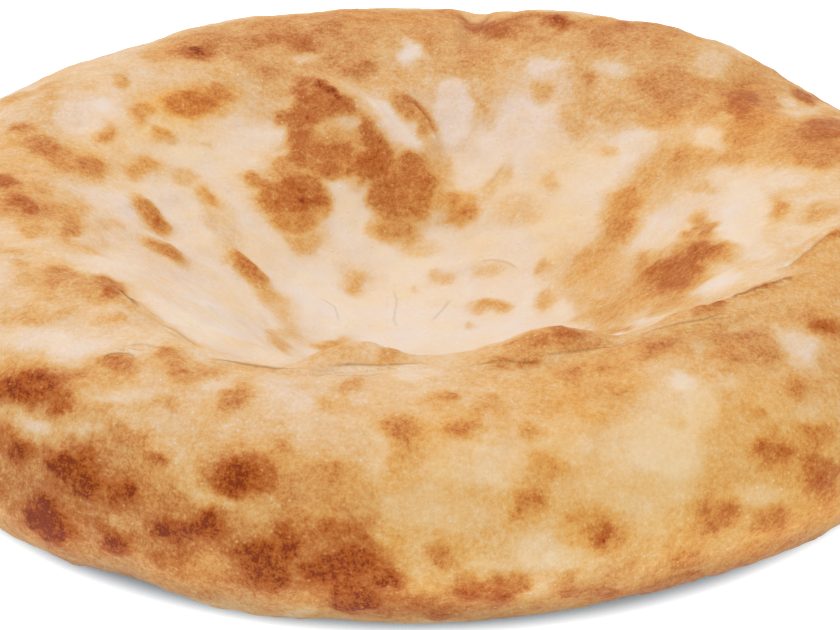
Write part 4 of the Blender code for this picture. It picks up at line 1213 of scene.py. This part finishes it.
def studio_paper(studio):
    """Matt white background paper, a little rough, that itself glows round the loaf, most in a ring:
    painted light, with no lamp under it, that keeps the loaf's shadow narrow. Close to the loaf that
    glow is cool, against the warm glow of the crust on the paper."""
    material, tree = empty_material("studio_paper")
    place = add_node(tree, "ShaderNodeTexCoord").outputs["Object"]
    fibre = noise(tree, place, 1.5 * MM)
    bump = add_node(tree, "ShaderNodeBump", {"Strength": 0.05, "Distance": 0.1 * MM, "Height": fibre})
    reach = add_node(tree, "ShaderNodeVectorMath", {0: place}, operation="LENGTH").outputs["Value"]
    # Painted light: the paper's own glow, strongest in a ring round the loaf.
    ring = soft_remap(tree, reach, GLOW_RING[0], GLOW_RING[1])
    beyond = soft_remap(tree, reach, GLOW_RING[2], GLOW_RING[3], 1.0, GLOW_BEYOND_RING)
    paper_glow_share = calculate(tree, "MULTIPLY", ring, beyond)
    shader = add_node(tree, "ShaderNodeBsdfPrincipled", {
        "Base Color": (*studio.paper_colour, 1.0), "Roughness": 0.9, "Specular IOR Level": 0.1,
        "Emission Color": mix_colours(tree, paper_glow_share, COOL_GLOW, WHITE),
        "Emission Strength": calculate(tree, "MULTIPLY_ADD", paper_glow_share, studio.ring_glow, studio.table_glow),
        "Normal": bump.outputs["Normal"]})
    add_node(tree, "ShaderNodeOutputMaterial", {"Surface": shader.outputs["BSDF"]})
    return material


# ---------------------------------------------------------------- settings
class BreadFormSettings(bpy.types.PropertyGroup):
    cage_squares: IntProperty(
        name="Cage Squares",
        description="Squares along each edge of the cube that is blown out to the loaf",
        default=127, min=20, max=128)
    spot_relief: FloatProperty(
        name="Spot Relief",
        description="How far browned spots stand proud, as a share of the usual 0.7 mm",
        default=1.0, min=0.0, max=3.0, subtype="FACTOR")


class SmallBlisterSettings(bpy.types.PropertyGroup):
    spacing: FloatProperty(
        name="Spacing", description="Smallest distance between two small blisters",
        default=0.0032, min=0.001, unit="LENGTH")
    smallest_radius: FloatProperty(
        name="Smallest Radius", description="Radius of the smallest blister",
        default=0.0012, min=0.0005, unit="LENGTH")
    largest_radius: FloatProperty(
        name="Largest Radius", description="Radius of the largest blister",
        default=0.0030, min=0.0005, unit="LENGTH")
    height: FloatProperty(
        name="Height", description="Height of a small blister",
        default=0.00018, min=0.0, unit="LENGTH")
    seed: IntProperty(
        name="Seed", description="Seed of the blisters' places and sizes", default=7, min=0)


def colour_setting(name, description, hex_colour):
    """A colour property whose default is an sRGB hex colour."""
    return FloatVectorProperty(
        name=name, description=description, default=linear(hex_colour),
        size=3, min=0, max=1, subtype="COLOR")


class CrustFinishSettings(bpy.types.PropertyGroup):
    raw_dough: colour_setting("Raw Dough", "Floury dough that took no colour", "#DDCFCB")
    cream: colour_setting("Cream", "Dough that is only dry", "#D5B492")
    gold: colour_setting("Gold", "Lightly baked crust", "#CFA067")
    toast: colour_setting("Toast", "Well baked crust", "#C58A50")
    brown: colour_setting("Brown", "Browned blisters", "#B26B35")
    dark_brown: colour_setting("Dark Brown", "Middles of the browned blisters", "#A25013")
    scorched: colour_setting("Scorched", "Darkest spots", "#7C2E03")
    floury_tint: colour_setting("Floury Tint", "Tint of the crust where it is floury", "#F7FBFF")
    golden_tint: colour_setting("Golden Tint", "Tint of the crust where it is golden", "#FFF3C9")
    # Painted shade that greys the crust at the foot.
    foot_shade: colour_setting("Foot Shade", "Greying of the crust at the foot", "#C6CDD9")
    # Painted shade that darkens the crust along a fine crease.
    crease_shade: colour_setting("Crease Shade", "Darkening along a fine crease", "#AE9F90")


class StudioSettings(bpy.types.PropertyGroup):
    camera_elevation: FloatProperty(
        name="Camera Elevation", description="Height of the camera above the horizon, in degrees",
        default=26.4, min=0, max=90)
    camera_distance: FloatProperty(
        name="Camera Distance", description="From the camera to the middle of the loaf",
        default=1.0, min=0.5, unit="LENGTH")
    key_power: FloatProperty(
        name="Key Power", description="Power of the large soft box overhead",
        default=9.25, min=0, unit="POWER")
    fill_power: FloatProperty(
        name="Fill Power", description="Power of the soft box in front",
        default=2.95, min=0, unit="POWER")
    surround: FloatProperty(
        name="Surround", description="Strength of the white surround", default=0.875, min=0)
    # Table Glow and Ring Glow make the paper itself glow: painted light, with no lamp under it.
    table_glow: FloatProperty(
        name="Table Glow", description="Light that comes up through the paper", default=0.15, min=0)
    ring_glow: FloatProperty(
        name="Ring Glow", description="Further light through the paper in a ring around the loaf",
        default=0.84, min=0)
    paper_colour: colour_setting("Paper", "Background paper", "#DEEBF5")


# ---------------------------------------------------------------- operators
class BREAD_OT_make_loaf(bpy.types.Operator):
    """Make the loaf: its form, its browning, its small blisters and its crust"""
    bl_idname = "bread.make_loaf"
    bl_label = "Make Loaf"

    def execute(self, context):
        scene = context.scene
        mesh = make_crust_mesh(scene.bread_form, scene.bread_studio)
        loaf = bpy.data.objects.new("loaf", mesh)
        scene.collection.objects.link(loaf)
        raise_small_blisters(loaf, scene.bread_blisters, wheat_crust(scene.bread_finish))
        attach(loaf, BREAD_BODY)
        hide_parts(BREAD_NODE)
        return {"FINISHED"}


def add_softbox(name, place, target, size, power):
    """A square area light that faces the target."""
    light = bpy.data.lights.new(name, "AREA")
    light.size = size
    light.energy = power
    box = bpy.data.objects.new(name, light)
    bpy.context.scene.collection.objects.link(box)
    box.location = place
    box.rotation_euler = (Vector(target) - Vector(place)).to_track_quat("-Z", "Y").to_euler()
    return box


class BREAD_OT_set_studio(bpy.types.Operator):
    """Set up the paper floor, the soft boxes, the white surround and the camera"""
    bl_idname = "bread.set_studio"
    bl_label = "Set Studio"

    def execute(self, context):
        scene, studio = context.scene, context.scene.bread_studio
        mesh = bpy.data.meshes.new("studio_floor")
        sheet = bmesh.new()
        bmesh.ops.create_grid(sheet, x_segments=1, y_segments=1, size=FLOOR_SIZE / 2)
        sheet.to_mesh(mesh)
        sheet.free()
        mesh.materials.append(studio_paper(studio))
        floor = bpy.data.objects.new("studio_floor", mesh)
        scene.collection.objects.link(floor)

        add_softbox("key_softbox", *KEY_SOFTBOX, studio.key_power)
        add_softbox("fill_softbox", *FILL_SOFTBOX, studio.fill_power)
        world = bpy.data.worlds.new("white_surround")
        world.use_nodes = True
        background = world.node_tree.nodes["Background"]
        background.inputs["Color"].default_value = WHITE
        background.inputs["Strength"].default_value = studio.surround
        scene.world = world
        scene.view_settings.view_transform = "Standard"

        lens = bpy.data.cameras.new("camera")
        lens.sensor_fit = "HORIZONTAL"
        lens.sensor_width = SENSOR_WIDTH
        lens.lens = FOCAL_PIXELS / PICTURE_WIDTH * SENSOR_WIDTH
        lens.clip_start = NEAREST_SEEN
        camera = bpy.data.objects.new("camera", lens)
        scene.collection.objects.link(camera)
        camera.matrix_world = camera_matrix(studio)
        scene.camera = camera
        return {"FINISHED"}


class BREAD_PT_tools(bpy.types.Panel):
    """Lists the steps that make the loaf and its studio"""
    bl_idname = "BREAD_PT_tools"
    bl_label = "Tandoor Bread"
    bl_space_type = "VIEW_3D"
    bl_region_type = "UI"
    bl_category = "Bread"

    def draw(self, context):
        for title, settings, operator in (
                ("Form", context.scene.bread_form, BREAD_OT_make_loaf.bl_idname),
                ("Small blisters", context.scene.bread_blisters, None),
                ("Crust", context.scene.bread_finish, None),
                ("Studio", context.scene.bread_studio, BREAD_OT_set_studio.bl_idname)):
            box = self.layout.box()
            box.label(text=title)
            for key in settings.__annotations__:
                box.prop(settings, key)
            if operator:
                box.operator(operator)


SETTINGS = {
    "bread_form": BreadFormSettings,
    "bread_blisters": SmallBlisterSettings,
    "bread_finish": CrustFinishSettings,
    "bread_studio": StudioSettings,
}
CLASSES = (*SETTINGS.values(), BREAD_OT_make_loaf, BREAD_OT_set_studio, BREAD_PT_tools)


def register():
    for each in CLASSES:
        bpy.utils.register_class(each)
    for name, group in SETTINGS.items():
        setattr(bpy.types.Scene, name, PointerProperty(type=group))


def unregister():
    for name in SETTINGS:
        delattr(bpy.types.Scene, name)
    for each in reversed(CLASSES):
        bpy.utils.unregister_class(each)


def main():
    register()
    bpy.ops.bread.set_studio()
    bpy.ops.bread.make_loaf()


if __name__ == "__main__":
    main()
